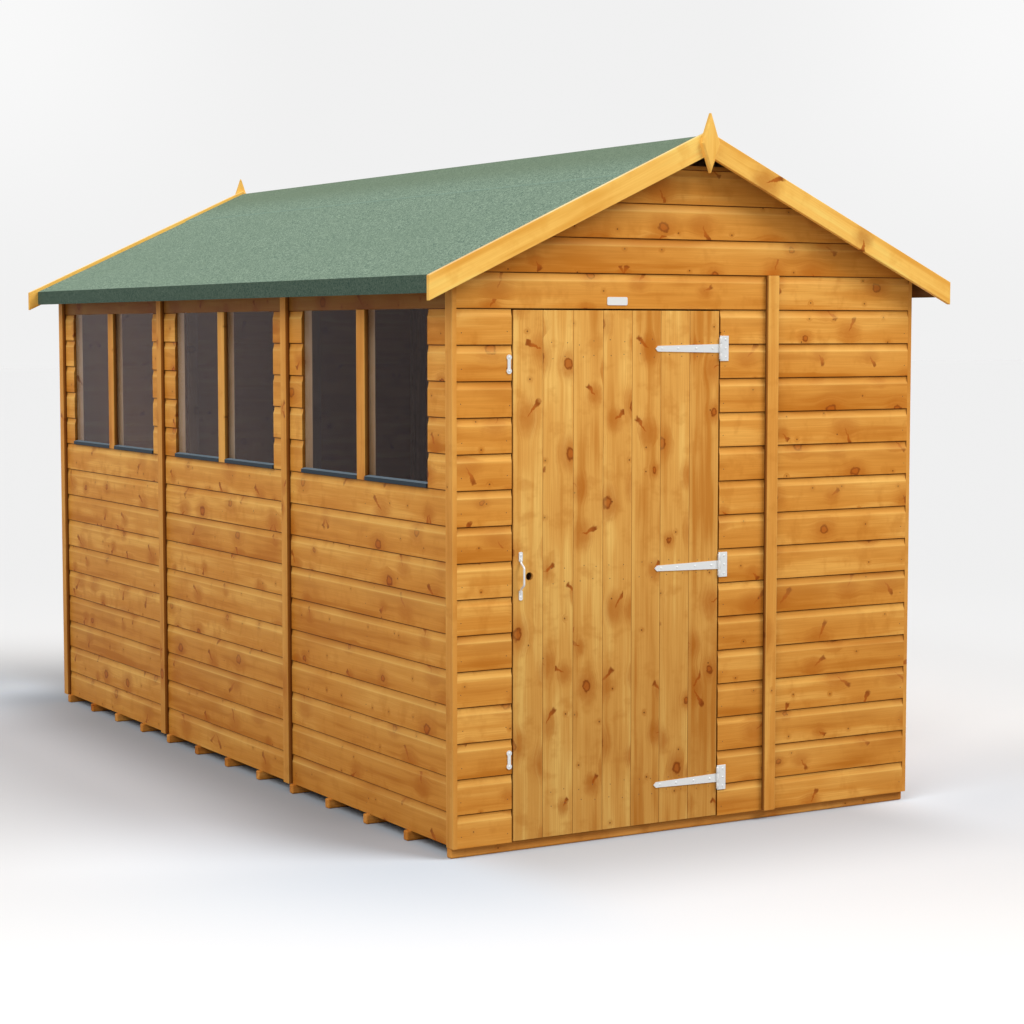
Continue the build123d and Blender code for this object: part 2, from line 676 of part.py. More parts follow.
# Finials: a bevelled diamond in front of each bargeboard apex
FINIAL_TOP = RIDGE_HEIGHT + FINIAL_RISE
FINIAL_LOW = FINIAL_TOP - FINIAL_HIGH
FINIAL_MID = FINIAL_LOW + FINIAL_HIGH * FINIAL_MID_RATIO
with BuildPart() as finials:
    for seat_y, out in ((ROOF_FRONT - BARGE_THICK, 1), (ROOF_BACK + BARGE_THICK, -1)):
        with BuildSketch(facing_front(seat_y)):
            with BuildLine():
                Polyline((0, FINIAL_LOW), (FINIAL_WIDE / 2, FINIAL_MID),
                         (0, FINIAL_TOP), (-FINIAL_WIDE / 2, FINIAL_MID), close=True)
            make_face()
        extrude(amount=out * FINIAL_THICK)
    outer = finials.faces().filter_by(Axis.Y).sort_by(Axis.Y)
    chamfer(outer[0].edges() + outer[-1].edges(), FINIAL_BEVEL)
keep(finials.part, "finials")

# Door leaf: its boards with the lock hole, three ledges and two braces
LOCK_X = DOOR_X0 + LOCK_HOLE_X
with BuildPart() as door_boards:
    with BuildSketch(facing_front(FRONT_Y + CLAD_THICK)):
        with Locations(((DOOR_X0 + DOOR_X1) / 2, (DOOR_BOTTOM + DOOR_TOP) / 2)):
            Rectangle(DOOR_WIDE, DOOR_TOP - DOOR_BOTTOM)
        with Locations((LOCK_X, HINGE_MID)):
            Circle(LOCK_HOLE / 2, mode=Mode.SUBTRACT)
    extrude(amount=CLAD_THICK)
keep(door_boards.part, "door_boards")

LEDGE_Y0 = FRONT_Y + CLAD_THICK
LEDGE_Y1 = LEDGE_Y0 + LEDGE_THICK
LEDGE_X0 = DOOR_X0 + LEDGE_INSET
LEDGE_X1 = DOOR_X1 - LEDGE_INSET
with BuildPart() as door_ledges:
    for z in HINGE_HEIGHTS:
        span_box(LEDGE_X0, LEDGE_X1, LEDGE_Y0, LEDGE_Y1,
                 z - LEDGE_WIDE / 2, z + LEDGE_WIDE / 2)
    with BuildSketch(facing_front(LEDGE_Y1)):
        with Locations((LOCK_X, HINGE_MID)):
            Circle(LOCK_HOLE / 2)
    extrude(amount=LEDGE_THICK, mode=Mode.SUBTRACT)
keep(door_ledges.part, "door_ledges")

with BuildPart() as door_braces:
    for n in range(len(HINGE_HEIGHTS) - 1):
        low = HINGE_HEIGHTS[n] + LEDGE_WIDE / 2
        high = HINGE_HEIGHTS[n + 1] - LEDGE_WIDE / 2
        with BuildSketch(facing_front(LEDGE_Y1)):
            with BuildLine():
                Polyline((LEDGE_X1 - BRACE_WIDE, low), (LEDGE_X1, low),
                         (LEDGE_X0 + BRACE_WIDE, high), (LEDGE_X0, high), close=True)
            make_face()
        extrude(amount=LEDGE_THICK)
keep(door_braces.part, "door_braces")

# Tee hinges: a tapered strap with the middle knuckle, on the door
KNUCKLE_GAP_Z = KNUCKLE_MIDDLE / 2 + KNUCKLE_PLAY
with BuildPart() as hinge_straps:
    for z in HINGE_HEIGHTS:
        with BuildSketch(facing_front(FRONT_Y)):
            with BuildLine():
                Polyline(
                    (HINGE_X, z - STRAP_ROOT / 2), (HINGE_X, z + STRAP_ROOT / 2),
                    (HINGE_X - STRAP_LONG + STRAP_TIP / 2, z + STRAP_TIP / 2),
                    (HINGE_X - STRAP_LONG, z),
                    (HINGE_X - STRAP_LONG + STRAP_TIP / 2, z - STRAP_TIP / 2),
                    close=True)
            make_face()
        extrude(amount=HINGE_THICK)
        with BuildSketch(Plane.XY.offset(z - KNUCKLE_MIDDLE / 2)):
            with Locations((HINGE_X, HINGE_Y)):
                Circle(KNUCKLE_RADIUS)
        extrude(amount=KNUCKLE_MIDDLE)
        with BuildSketch(Plane.XY.offset(z - KNUCKLE_MIDDLE / 2)):
            with Locations((HINGE_X, HINGE_Y)):
                Circle(PIN_RADIUS + PIN_PLAY)
        extrude(amount=KNUCKLE_MIDDLE, mode=Mode.SUBTRACT)
keep(hinge_straps.part, "hinge_straps")

# The wall plates carry the outer knuckles and the pins
KNUCKLE_CLEAR = KNUCKLE_RADIUS + KNUCKLE_PLAY
with BuildPart() as hinge_plates:
    for z in HINGE_HEIGHTS:
        with BuildSketch(facing_front(FRONT_Y)):
            with Locations((HINGE_X + PLATE_WIDE / 2, z)):
                Rectangle(PLATE_WIDE, PLATE_HIGH)
            with Locations((HINGE_X + KNUCKLE_CLEAR / 2, z)):
                Rectangle(KNUCKLE_CLEAR, 2 * KNUCKLE_GAP_Z, mode=Mode.SUBTRACT)
        extrude(amount=HINGE_THICK)
        for z0 in (z - KNUCKLE_GAP_Z - KNUCKLE_END, z + KNUCKLE_GAP_Z):
            with BuildSketch(Plane.XY.offset(z0)):
                with Locations((HINGE_X, HINGE_Y)):
                    Circle(KNUCKLE_RADIUS)
            extrude(amount=KNUCKLE_END)
        with BuildSketch(Plane.XY.offset(z - KNUCKLE_GAP_Z)):
            with Locations((HINGE_X, HINGE_Y)):
                Circle(PIN_RADIUS)
        extrude(amount=2 * KNUCKLE_GAP_Z)
keep(hinge_plates.part, "hinge_plates")

# Door pull: a bowed bar between two screwed tabs
PULL_MID_X = DOOR_X0 + PULL_X
PULL_Z = HINGE_MID + PULL_LIFT
PULL_FOOT = PULL_HIGH / 2 - PULL_TAB
with BuildPart() as door_pull:
    for end in (-1, 1):
        tab_z = PULL_Z + end * (PULL_HIGH - PULL_TAB) / 2
        with BuildSketch(facing_front(FRONT_Y)):
            with Locations((PULL_MID_X, tab_z)):
                RectangleRounded(PULL_WIDE, PULL_TAB, PULL_WIDE / 3)
        extrude(amount=PULL_THICK)
    bar_y = FRONT_Y - PULL_BAR
    reach_y = FRONT_Y - PULL_REACH + PULL_BAR
    with BuildLine(facing_left(PULL_MID_X)):
        bow = FilletPolyline(
            (bar_y, PULL_Z - PULL_FOOT - PULL_BEND),
            (bar_y, PULL_Z - PULL_FOOT + PULL_BAR),
            (reach_y, PULL_Z - PULL_FOOT + PULL_RISE + PULL_BAR),
            (reach_y, PULL_Z + PULL_FOOT - PULL_RISE - PULL_BAR),
            (bar_y, PULL_Z + PULL_FOOT - PULL_BAR),
            (bar_y, PULL_Z + PULL_FOOT + PULL_BEND), radius=PULL_BEND)
    with BuildSketch(Plane(origin=bow @ 0, z_dir=bow % 0)):
        Circle(PULL_BAR)
    sweep()
keep(door_pull.part, "door_pull")

# Turn buttons on the cladding beside the latch edge of the door
with BuildPart() as turn_buttons:
    for z in (DOOR_BOTTOM + BUTTON_LOW, DOOR_TOP - BUTTON_HIGH):
        with BuildSketch(facing_front(FRONT_Y)):
            with Locations((OPENING_X0 - BUTTON_X, z)):
                Rectangle(BUTTON_WAIST, BUTTON_LONG - 2 * BUTTON_END)
                with Locations((0, BUTTON_LONG / 2 - BUTTON_END),
                               (0, BUTTON_END - BUTTON_LONG / 2)):
                    Circle(BUTTON_END)
        extrude(amount=BUTTON_THICK)
keep(turn_buttons.part, "turn_buttons")

with BuildPart() as name_plate:
    with BuildSketch(facing_front(FRONT_Y)):
        with Locations(((DOOR_X0 + DOOR_X1) / 2 - NAME_PLATE_LEFT,
                        WINDOW_TOP + NAME_PLATE_LIFT)):
            RectangleRounded(NAME_PLATE_WIDE, NAME_PLATE_HIGH, NAME_PLATE_HIGH / 5)
    extrude(amount=NAME_PLATE_THICK)
keep(name_plate.part, "name_plate")
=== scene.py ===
"""Looks of the wooden garden shed: its boards, trim, felt and glass, the light and the camera."""

import functools
import itertools
import math

import bpy
import numpy as np
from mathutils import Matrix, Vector


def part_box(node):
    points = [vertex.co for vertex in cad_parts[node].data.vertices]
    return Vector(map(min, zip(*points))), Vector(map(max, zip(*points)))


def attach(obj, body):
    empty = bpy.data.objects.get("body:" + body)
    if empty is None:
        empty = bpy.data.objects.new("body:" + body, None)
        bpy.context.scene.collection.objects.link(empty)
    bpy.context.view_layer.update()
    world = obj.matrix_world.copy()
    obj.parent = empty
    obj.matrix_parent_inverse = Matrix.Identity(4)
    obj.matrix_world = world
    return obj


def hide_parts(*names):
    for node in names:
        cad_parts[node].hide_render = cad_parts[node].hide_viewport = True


MM = 0.001
# Two places nearer to each other than this are one
SAME = 0.01 * MM
UP = np.array((0.0, 0.0, 1.0))
ACROSS = np.array((1.0, 0.0, 0.0))
ALONG = np.array((0.0, 1.0, 0.0))

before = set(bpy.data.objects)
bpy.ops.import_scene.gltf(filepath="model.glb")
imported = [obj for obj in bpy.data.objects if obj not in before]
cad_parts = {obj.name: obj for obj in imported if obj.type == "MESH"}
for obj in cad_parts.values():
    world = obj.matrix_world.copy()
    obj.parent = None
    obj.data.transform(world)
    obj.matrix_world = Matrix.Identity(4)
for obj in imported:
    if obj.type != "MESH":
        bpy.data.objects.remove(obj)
scene = bpy.context.scene
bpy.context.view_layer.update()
# Boards draw their tones by seeded chance, and take numbers in turn
chance = np.random.default_rng(11)
numbers = itertools.count()


def corners(name):
    """Return a CAD node's vertices as an array, in metres."""
    return np.array([v.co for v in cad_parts[name].data.vertices])


# Sizes that the boards share with the CAD
BOARDS_BELOW_WINDOW = 10
BOARDS_BESIDE_WINDOW = 5
lower_low, lower_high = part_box("left_wall_lower")
head_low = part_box("left_wall_head")[0]
COVER = (head_low.z - lower_high.z) / BOARDS_BESIDE_WINDOW
FIRST_JOINT = lower_high.z - BOARDS_BELOW_WINDOW * COVER
THICK = lower_high.x - lower_low.x
gable = corners("front_gable")
flat_top = gable[gable[:, 2] > gable[:, 2].max() - SAME][:, 0].max()
side_top = gable[gable[:, 0] > gable[:, 0].max() - SAME][:, 2].max()
SLOPE = (gable[:, 2].max() - side_top) / (gable[:, 0].max() - flat_top)
PITCH = math.atan(SLOPE)


# Shader helpers

# How a Map Range node goes from one value to the other where the change is soft
SMOOTH = {"interpolation_type": "SMOOTHSTEP"}


def colour(code):
    """Return an sRGB hex code as linear red, green, blue and alpha."""
    parts = [int(code[n:n + 2], 16) / 255 for n in (1, 3, 5)]
    return [p / 12.92 if p <= 0.04045 else ((p + 0.055) / 1.055) ** 2.4 for p in parts] + [1.0]


def node(tree, kind, *values, **settings):
    """Add a shader node and give values to its open inputs, in turn or by name from a dict.

    A value is a number, a colour or a vector. An output is linked instead, and a node stands
    for its first open output.
    """
    made = tree.nodes.new("ShaderNode" + kind)
    for key, value in settings.items():
        setattr(made, key, value)
    if values and isinstance(values[0], dict):
        given = [(made.inputs[key], value) for key, value in values[0].items()]
    else:
        given = zip([socket for socket in made.inputs if socket.enabled], values)
    for socket, value in given:
        if isinstance(value, bpy.types.Node):
            value = next(output for output in value.outputs if output.enabled)
        if isinstance(value, bpy.types.NodeSocket):
            tree.links.new(value, socket)
        else:
            socket.default_value = value
    return made


def blank(owner):
    """Empty the nodes of a material or a world, and return node() bound to them."""
    owner.use_nodes = True
    owner.node_tree.nodes.clear()
    return functools.partial(node, owner.node_tree)


def start(name):
    """Return a new material and what adds its nodes."""
    material = bpy.data.materials.new(name)
    return material, blank(material)


def coats(add, base, layers):
    """Return a colour with the hex code of each layer laid over it by the layer's share."""
    for share, code in layers:
        base = add("Mix", share, base, colour(code), data_type="RGBA")
    return base


def mottling(add, place, waves, detail=2.0, rough=0.5):
    """Return mottling from 0 to 1, with so many waves per metre along each axis of place."""
    stretched = add("VectorMath", place, waves, operation="MULTIPLY")
    return add("TexNoise", {"Vector": stretched, "Scale": 1.0, "Detail": detail,
                            "Roughness": rough})


# Knots

# Length and width in metres of the cells that hold one knot, or one pin knot, at most
KNOT_CELL = (0.27, 0.112)
PIN_CELL = (0.17, 0.08)


def knot_cells(add, grain, cell):
    """Return, for one knot to a cell, the vector to its middle in metres and three dice."""
    scaled = add("VectorMath", grain, (*cell, 1.0), operation="DIVIDE")
    cells = add("TexVoronoi", {"Vector": scaled, "Scale": 1.0, "Randomness": 0.85},
                voronoi_dimensions="2D").outputs
    away = add("VectorMath", scaled, cells["Position"], operation="SUBTRACT")
    away = add("VectorMath", away, (*cell, 0.0), operation="MULTIPLY")
    return away, add("SeparateColor", cells["Color"]).outputs


def thrown_again(add, die, times):
    """Return another die from one between 0 and 1: the fraction of it times a number."""
    return add("Math", add("Math", die, times, operation="MULTIPLY"), operation="FRACT")


def round_knots(add, away, size, present):
    """Return masks of round knots and of their dark rims, and the distance from the middle.

    A knot is a disc 8 to 17 mm in radius, by its size from 0 to 1, and a quarter longer
    along the board. The distance is in radii.
    """
    squeezed = add("VectorMath", away, (0.8, 1.0, 0.0), operation="MULTIPLY")
    radius = add("MapRange", size, 0.0, 1.0, 8 * MM, 17 * MM, **SMOOTH)
    reach = add("Math", add("VectorMath", squeezed, operation="LENGTH"), radius,
                operation="DIVIDE")
    disc = add("Math", add("MapRange", reach, 0.8, 1.2, 1.0, 0.0, **SMOOTH), present,
               operation="MULTIPLY")
    rim = add("Math", add("MapRange", reach, 0.45, 0.85, **SMOOTH), disc, operation="MULTIPLY")
    return add("Math", disc, 0.8, operation="MULTIPLY"), rim, reach


def flame_knots(add, away, size, hand, present):
    """Return masks of flame knots and of their dark edges.

    A flame is a wedge 35 to 80 mm long, by its size from 0 to 1, that widens to 20 mm as it
    leans 20 to 57 degrees from straight across the board. Its hand, from 0 to 1, says to
    which side it runs, and one flame in eight is mirrored to make a pair.
    """
    along, across = add("SeparateXYZ", away).outputs[:2]
    twin = add("Math", thrown_again(add, size, 7.3), 0.12, operation="LESS_THAN")
    along = add("Mix", twin, along, add("Math", along, operation="ABSOLUTE"))
    flip = add("Math", add("Math", hand, 0.3, operation="SUBTRACT"), operation="SIGN")
    across = add("Math", across, flip, operation="MULTIPLY")
    lean = add("MapRange", thrown_again(add, size, 11.9), 0.0, 1.0, 0.35, 1.0, **SMOOTH)
    sine, cosine = add("Math", lean, operation="SINE"), add("Math", lean, operation="COSINE")
    out = add("Math", add("Math", along, sine, operation="MULTIPLY"),
              add("Math", across, cosine, operation="MULTIPLY"), operation="ADD")
    off = add("Math", add("Math", along, cosine, operation="MULTIPLY"),
              add("Math", across, sine, operation="MULTIPLY"), operation="SUBTRACT")
    long = add("MapRange", size, 0.0, 1.0, 35 * MM, 80 * MM, **SMOOTH)
    run = add("Math", out, long, operation="DIVIDE")
    half = add("MapRange", run, 0.0, 1.0, 1.5 * MM, 10 * MM, **SMOOTH)
    side = add("Math", add("Math", off, operation="ABSOLUTE"), half, operation="DIVIDE")
    flame = add("MapRange", side, 0.45, 1.15, 1.0, 0.0, **SMOOTH)
    for share in (add("MapRange", run, 0.0, 0.15, **SMOOTH),
                  add("MapRange", run, 0.85, 1.0, 1.0, 0.0, **SMOOTH), present):
        flame = add("Math", flame, share, operation="MULTIPLY")
    dark = add("Math", add("MapRange", side, 0.6, 1.3, 0.0, 0.5, **SMOOTH),
               add("MapRange", run, 0.45, 0.95, **SMOOTH), operation="MAXIMUM")
    return flame, add("Math", dark, flame, operation="MULTIPLY")


def pin_knots(add, grain, knotty):
    """Return masks of pin knots, 2 to 3 mm in radius, and of the stain 17 mm round them."""
    away, dice = knot_cells(add, grain, PIN_CELL)
    near = add("VectorMath", away, operation="LENGTH")
    present = add("Math", dice[1], knotty * 0.5, operation="LESS_THAN")
    shares = (add("MapRange", near, 1.6 * MM, 3.6 * MM, 1.0, 0.0, **SMOOTH),
              add("MapRange", near, 3 * MM, 17 * MM, 0.6, 0.0, **SMOOTH))
    return [add("Math", share, present, operation="MULTIPLY") for share in shares]


def knots(add, grain, knotty):
    """Return masks of knot wood, of its dark edges, of pin knots and of the stain round them.

    knotty is the share of the cells that hold a knot, and most knots are flames. The vector
    from the middle of the nearest knot, which noise makes uneven, comes last.
    """
    away, (red, green, blue) = knot_cells(add, grain, KNOT_CELL)
    wobble = add("TexNoise", {"Vector": grain, "Scale": 50.0, "Detail": 4.0}).outputs["Color"]
    wobble = add("VectorMath", wobble, (0.5, 0.5, 0.5), operation="SUBTRACT")
    wobble = add("VectorMath", wobble, (24 * MM, 20 * MM, 0.0), operation="MULTIPLY")
    away = add("VectorMath", away, wobble, operation="ADD")
    present = add("Math", green, knotty, operation="LESS_THAN")
    flames = add("Math", present, add("Math", red, 0.65, operation="LESS_THAN"),
                 operation="MULTIPLY")
    rounds = add("Math", present, flames, operation="SUBTRACT")

    disc, rim, reach = round_knots(add, away, blue, rounds)
    flame, edge = flame_knots(add, away, blue, red, flames)
    pin, halo = pin_knots(add, grain, knotty)
    stain = add("Math", add("MapRange", reach, 0.7, 4.2, 1.0, 0.0, **SMOOTH), present,
                operation="MULTIPLY")
    return (add("Math", disc, flame, operation="MAXIMUM"),
            add("Math", rim, edge, operation="MAXIMUM"), pin,
            add("Math", stain, halo, operation="MAXIMUM"), away)


# Finishes

# Height to which the walls' painted fall of light is measured from the ground: just under the
# eaves
UNDER_ROOF = 1.75


def wood(name, pale, mid, deep, axes=None, knotty=0.5, rough=0.5, crest=None, lit="#F4C269",
         shade="#54290A", foot=1.0, head=1.0, knot=("#B4600F", "#AE5008", "#6E2E04")):
    """Return dipped softwood with streaks along u of its grain coordinates, in metres.

    Streaks are noise about 800 mm long and 35 mm wide over finer ones, 200 by 4 mm, with
    darker smudges 70 by 100 mm across them. They bend round the knots.
    axes is None where the mesh carries attributes for the grain, the board's tone, the share
    of stain and painted shade and the share of painted highlight, or else the three directions
    in which the object's coordinates give u, v and w. The shade colour lays that painted
    shade, with stain in the joints, and the lit colour that painted highlight.
    crest gives the height that the sloping top edge of a bargeboard reaches at x = 0, along
    which a painted highlight runs.
    foot and head scale the colour near the ground and at the eaves: painted light that falls
    off towards the ground.
    knot gives the colours of the stain round a knot, its wood and its dark edge.
    """
    material, add = start(name)
    stain_and_painted_shade = painted_highlight = None
    if axes is None:
        grain = add("Attribute", attribute_name="grain").outputs["Vector"]
        board, stain_and_painted_shade, painted_highlight = [add("Attribute", attribute_name=kept).outputs["Fac"]
                                 for kept in ("board", "stain_and_painted_shade", "painted_highlight")]
    else:
        place = add("TexCoord").outputs["Object"]
        grain = add("CombineXYZ", *[add("VectorMath", place, way, operation="DOT_PRODUCT")
                                    for way in axes])
        board = mottling(add, grain, (0.3, 2.2, 2.2))
    if crest is not None:
        x, _, z = add("SeparateXYZ", place).outputs
        fall = add("Math", add("Math", x, operation="ABSOLUTE"), SLOPE, operation="MULTIPLY")
        painted_highlight = add("MapRange", add("Math", z, fall, operation="ADD"), crest - 2.5 * MM,
                    crest - 0.8 * MM, **SMOOTH)

    mark, dark, pin, stain, away = knots(add, grain, knotty)
    bend = add("VectorMath", away, (0.0, -0.7, 0.0), operation="MULTIPLY")
    bend = add("VectorMath", bend, stain, operation="SCALE")
    flow = add("VectorMath", grain, bend, operation="ADD")
    streak = add("MapRange", mottling(add, flow, (1.25, 28.0, 6.0), 4.0, 0.55), 0.32, 0.70,
                 **SMOOTH)
    fine = mottling(add, flow, (5.0, 250.0, 40.0), 3.0)
    cloud = mottling(add, grain, (2.5, 8.0, 4.0))
    smudge = mottling(add, grain, (14.0, 10.0, 4.0), 3.0, 0.6)

    tone = add("Math", add("Math", streak, 0.38, operation="MULTIPLY"),
               add("Math", board, 0.34, operation="MULTIPLY"), operation="ADD")
    tone = add("Math", tone, add("MapRange", cloud, 0.3, 0.7, 0.0, 0.34, **SMOOTH),
               operation="ADD")
    base = coats(add, colour(pale), (
        (add("MapRange", tone, 0.15, 0.5, **SMOOTH), mid),
        (add("MapRange", tone, 0.5, 0.9, **SMOOTH), deep),
        (add("MapRange", fine, 0.35, 0.65, 0.0, 0.26, **SMOOTH), deep),
        (add("MapRange", smudge, 0.50, 0.70, 0.0, 0.42, **SMOOTH), deep),
        (add("Math", stain, 0.6, operation="MULTIPLY"), knot[0]),
        (add("Math", mark, 0.80, operation="MULTIPLY"), knot[1]),
        (add("Math", dark, 0.62, operation="MULTIPLY"), knot[2]),
        (add("Math", pin, 0.80, operation="MULTIPLY"), "#4A1E08")))
    # Painted highlight: the lit colour on arrises, up the face of each board and along the
    # bargeboards' top edge, in uneven patches
    if painted_highlight is not None:
        highlight_patches = add("MapRange", mottling(add, grain, (1.6, 0.5, 0.5)), 0.35, 0.65, 0.3, 0.85,
                   **SMOOTH)
        base = coats(add, base, [(add("Math", painted_highlight, highlight_patches, operation="MULTIPLY"), lit)])
    # Painted light: the colour falls off towards the ground and rises at the eaves
    if foot < 1.0:
        z = add("SeparateXYZ", add("TexCoord").outputs["Object"]).outputs["Z"]
        painted_falloff = add("MapRange", z, 0.0, UNDER_ROOF, foot, head, **SMOOTH)
        base = add("VectorMath", base, painted_falloff, operation="SCALE")
    # Painted shade, with stain in the joints: the shade colour laid on by its attribute
    if stain_and_painted_shade is not None:
        base = coats(add, base, [(stain_and_painted_shade, shade)])

    height = add("Math", fine, add("Math", mark, 0.4, operation="MULTIPLY"),
                 operation="SUBTRACT")
    bump = add("Bump", {"Height": height, "Strength": 0.2, "Distance": 0.5 * MM})
    shine = add("BsdfPrincipled", {"Base Color": base, "Roughness": rough,
                                   "Specular IOR Level": 0.07, "Normal": bump})
    add("OutputMaterial", shine)
    return material


def plain(name, code, rough, metal=0.0, grain=0.0):
    """Return a plain painted, plated or moulded finish, with grain in mm where it is cast."""
    material, add = start(name)
    look = {"Base Color": colour(code), "Roughness": rough, "Metallic": metal}
    if grain:
        place = add("TexCoord").outputs["Object"]
        speckle = add("TexNoise", {"Vector": place, "Scale": 1 / (grain * MM)})
        look["Normal"] = add("Bump", {"Height": speckle, "Strength": 0.15,
                                      "Distance": 0.3 * MM})
    add("OutputMaterial", add("BsdfPrincipled", look))
    return material


def felt_finish():
    """Return green mineral felt: 3 mm granules over 9 mm mottling, in broad soft patches.

    Painted shade darkens it where it folds down at the eaves; it is more olive over the ridge,
    and a painted highlight makes it pale along the lip of the ridge piece, against the shadow of
    its step.
    """
    material, add = start("green_mineral_felt")
    place = add("TexCoord").outputs["Object"]
    grit = add("TexVoronoi", {"Vector": place, "Scale": 1 / (3.2 * MM)}).outputs["Color"]
    mottled = mottling(add, place, (111.0, 111.0, 111.0), 4.0, 0.75)
    mixed = add("Math", add("Math", add("SeparateColor", grit), 0.45, operation="MULTIPLY"),
                add("Math", mottled, 0.55, operation="MULTIPLY"), operation="ADD")
    wide = mottling(add, place, (3.8, 3.8, 3.8))

    out = add("Math", add("SeparateXYZ", place).outputs["X"], operation="ABSOLUTE")
    edge = max(abs(corner.x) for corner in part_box("roof_felt_left"))
    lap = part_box("ridge_felt")[1].x
    lip = add("Math", add("Math", out, lap, operation="SUBTRACT"), operation="ABSOLUTE")
    # The fold at the eaves takes painted shade and the lip of the ridge piece a painted highlight
    base = coats(add, colour("#466055"), (
        (add("MapRange", mixed, 0.2, 0.8, **SMOOTH), "#9EB29B"),
        (add("MapRange", wide, 0.35, 0.7, 0.0, 0.2, **SMOOTH), "#758A76"),
        (add("MapRange", out, edge - 3 * MM, edge - 1 * MM, 0.0, 0.70, **SMOOTH), "#24382F"),
        (add("MapRange", out, lap - 200 * MM, lap - 20 * MM, 0.6, 0.0, **SMOOTH), "#6A7A62"),
        (add("MapRange", lip, 0.0, 2 * MM, 0.65, 0.0, **SMOOTH), "#A9C4B2")))
    bump = add("Bump", {"Height": mixed, "Strength": 0.6, "Distance": 0.8 * MM})
    shine = add("BsdfPrincipled", {"Base Color": base, "Roughness": 0.95,
                                   "Specular IOR Level": 0.1, "Normal": bump})
    add("OutputMaterial", shine)
    return material


def glass_finish():
    """Return thin clear glazing sheet: seen through, with a reflection that grows at a slant."""
    material, add = start("clear_glazing")
    slant = add("LayerWeight", 0.5).outputs["Facing"]
    mirror = add("MapRange", slant, 0.52, 0.70, 0.017, 0.062, **SMOOTH)
    through = add("BsdfTransparent", {"Color": (0.96, 0.96, 0.97, 1.0)})
    shine = add("BsdfGlossy", {"Color": (1.0, 0.86, 0.84, 1.0), "Roughness": 0.04})
    add("OutputMaterial", add("MixShader", mirror, through, shine))
    return material


def sill_finish():
    """Return grey painted drip strip: its sloping top is paler than its dark face."""
    material, add = start("grey_drip_strip")
    z = add("SeparateXYZ", add("TexCoord").outputs["Object"]).outputs["Z"]
    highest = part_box("window_sills")[1].z
    # Painted highlight: the sloping top is painted paler than the face
    top = add("MapRange", z, highest - 4.6 * MM, highest - 3.6 * MM, **SMOOTH)
    base = coats(add, colour("#26323B"), [(top, "#7D8E9A")])
    shine = add("BsdfPrincipled", {"Base Color": base, "Roughness": 0.5,
                                   "Specular IOR Level": 0.1})
    add("OutputMaterial", shine)
    return material


# Where u, v and w of the grain run in the CAD nodes: u is along each timber
SINE, COSINE = math.sin(PITCH), math.cos(PITCH)
UPRIGHT = ((0, 0, 1), (0.7, 0.7, 0), (0.7, -0.7, 0))
CROSSWISE = ((1, 0, 0), (0, 1, 1), (0, 1, -1))
LENGTHWISE = ((0, 1, 0), (1, 0, 1), (1, 0, -1))
DOWN_LEFT = ((COSINE, 0, SINE), (-SINE, 0, COSINE), (0, 1, 0))
DOWN_RIGHT = ((COSINE, 0, -SINE), (SINE, 0, COSINE), (0, 1, 0))
CREST = max(corner.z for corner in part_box("bargeboards_left"))
# Colours of the timbers, from their pale streaks to their deep ones
# The painted highlight along the bargeboards' top edge
BARGE_HIGHLIGHT = "#FBE3B0"
DIP = {"pale": "#EBAB51", "mid": "#D89039", "deep": "#BF721F"}
PLANED = {"pale": "#FFDA76", "mid": "#FDC763", "deep": "#EAA744"}
# Painted shade darkens the timber inside, and painted light makes the studs behind the panes
# paler
INNER_SHADED = {"pale": "#96714C", "mid": "#80603E", "deep": "#66482C",
         "knot": ("#70502E", "#664020", "#3E2410")}
STUD_LIT = {"pale": "#FAE0BC", "mid": "#F2CB9E", "deep": "#DDAE7C",
        "knot": ("#D09A6C", "#B47850", "#7A4834")}
finishes = {
    # dip-treated shiplap and door boards, satin: painted highlights on the arrises over dark
    # joints, and painted light that falls off towards the ground
    "cladding": wood("dipped_shiplap", knotty=0.80, foot=0.85, head=1.07, **DIP),
    "door_timber": wood("dipped_door_boards", "#F4C269", "#E3A651", "#C67E2E", knotty=0.80,
                        foot=0.70, head=1.05),
    # dip-treated planed trim, satin: a shade paler than the boards
    "trim_strip": wood("planed_trim", "#EBAE55", "#DC9641", "#C57B2A", knotty=0.4, foot=0.84,
                       head=1.05),
    "finial": wood("planed_finial", axes=UPRIGHT, knotty=0.1, **PLANED),
    "trim_left": wood("planed_barge_left", axes=DOWN_LEFT, knotty=0.3, crest=CREST,
                      lit=BARGE_HIGHLIGHT, **PLANED),
    "trim_right": wood("planed_barge_right", axes=DOWN_RIGHT, knotty=0.3, crest=CREST,
                       lit=BARGE_HIGHLIGHT, **PLANED),
    # framing softwood, matt: painted shade makes it dim inside, and painted light makes the studs
    # that show through the panes paler
    "frame_upright": wood("framing_upright", axes=UPRIGHT, knotty=0.3, rough=0.7, **INNER_SHADED),
    "stud": wood("window_studs", axes=UPRIGHT, knotty=0.4, rough=0.7, **STUD_LIT),
    "frame_crosswise": wood("framing_crosswise", axes=CROSSWISE, knotty=0.3, rough=0.7, **INNER_SHADED),
    "frame_lengthwise": wood("framing_lengthwise", axes=LENGTHWISE, knotty=0.3, rough=0.7,
                             **INNER_SHADED),
    "base_timber": wood("dipped_joists", "#E0A050", "#CB863A", "#A96524", axes=CROSSWISE,
                        knotty=0.3, rough=0.6),
    "roof_timber": wood("roof_planks", knotty=0.4, rough=0.7, **INNER_SHADED),
    "mineral_felt": felt_finish(),
    "window_sheet": glass_finish(),
    "sill_strip": sill_finish(),
    # zinc plate, satin: near white, as it takes the pale studio
    "galvanised_steel": plain("bright_zinc_plate", "#DDDEDD", 0.45, metal=0.35, grain=3.0),
    "blank_plate": plain("white_name_plate", "#E9E9E6", 0.35),
    "nails": plain("dull_nail_heads", "#4A2A12", 0.6),
}


# Boards

# How far u and v of the grain move from one board to the next, so that no two share knots
GRAIN_STEP = (3.71, 0.83)
SHARP = math.radians(30)


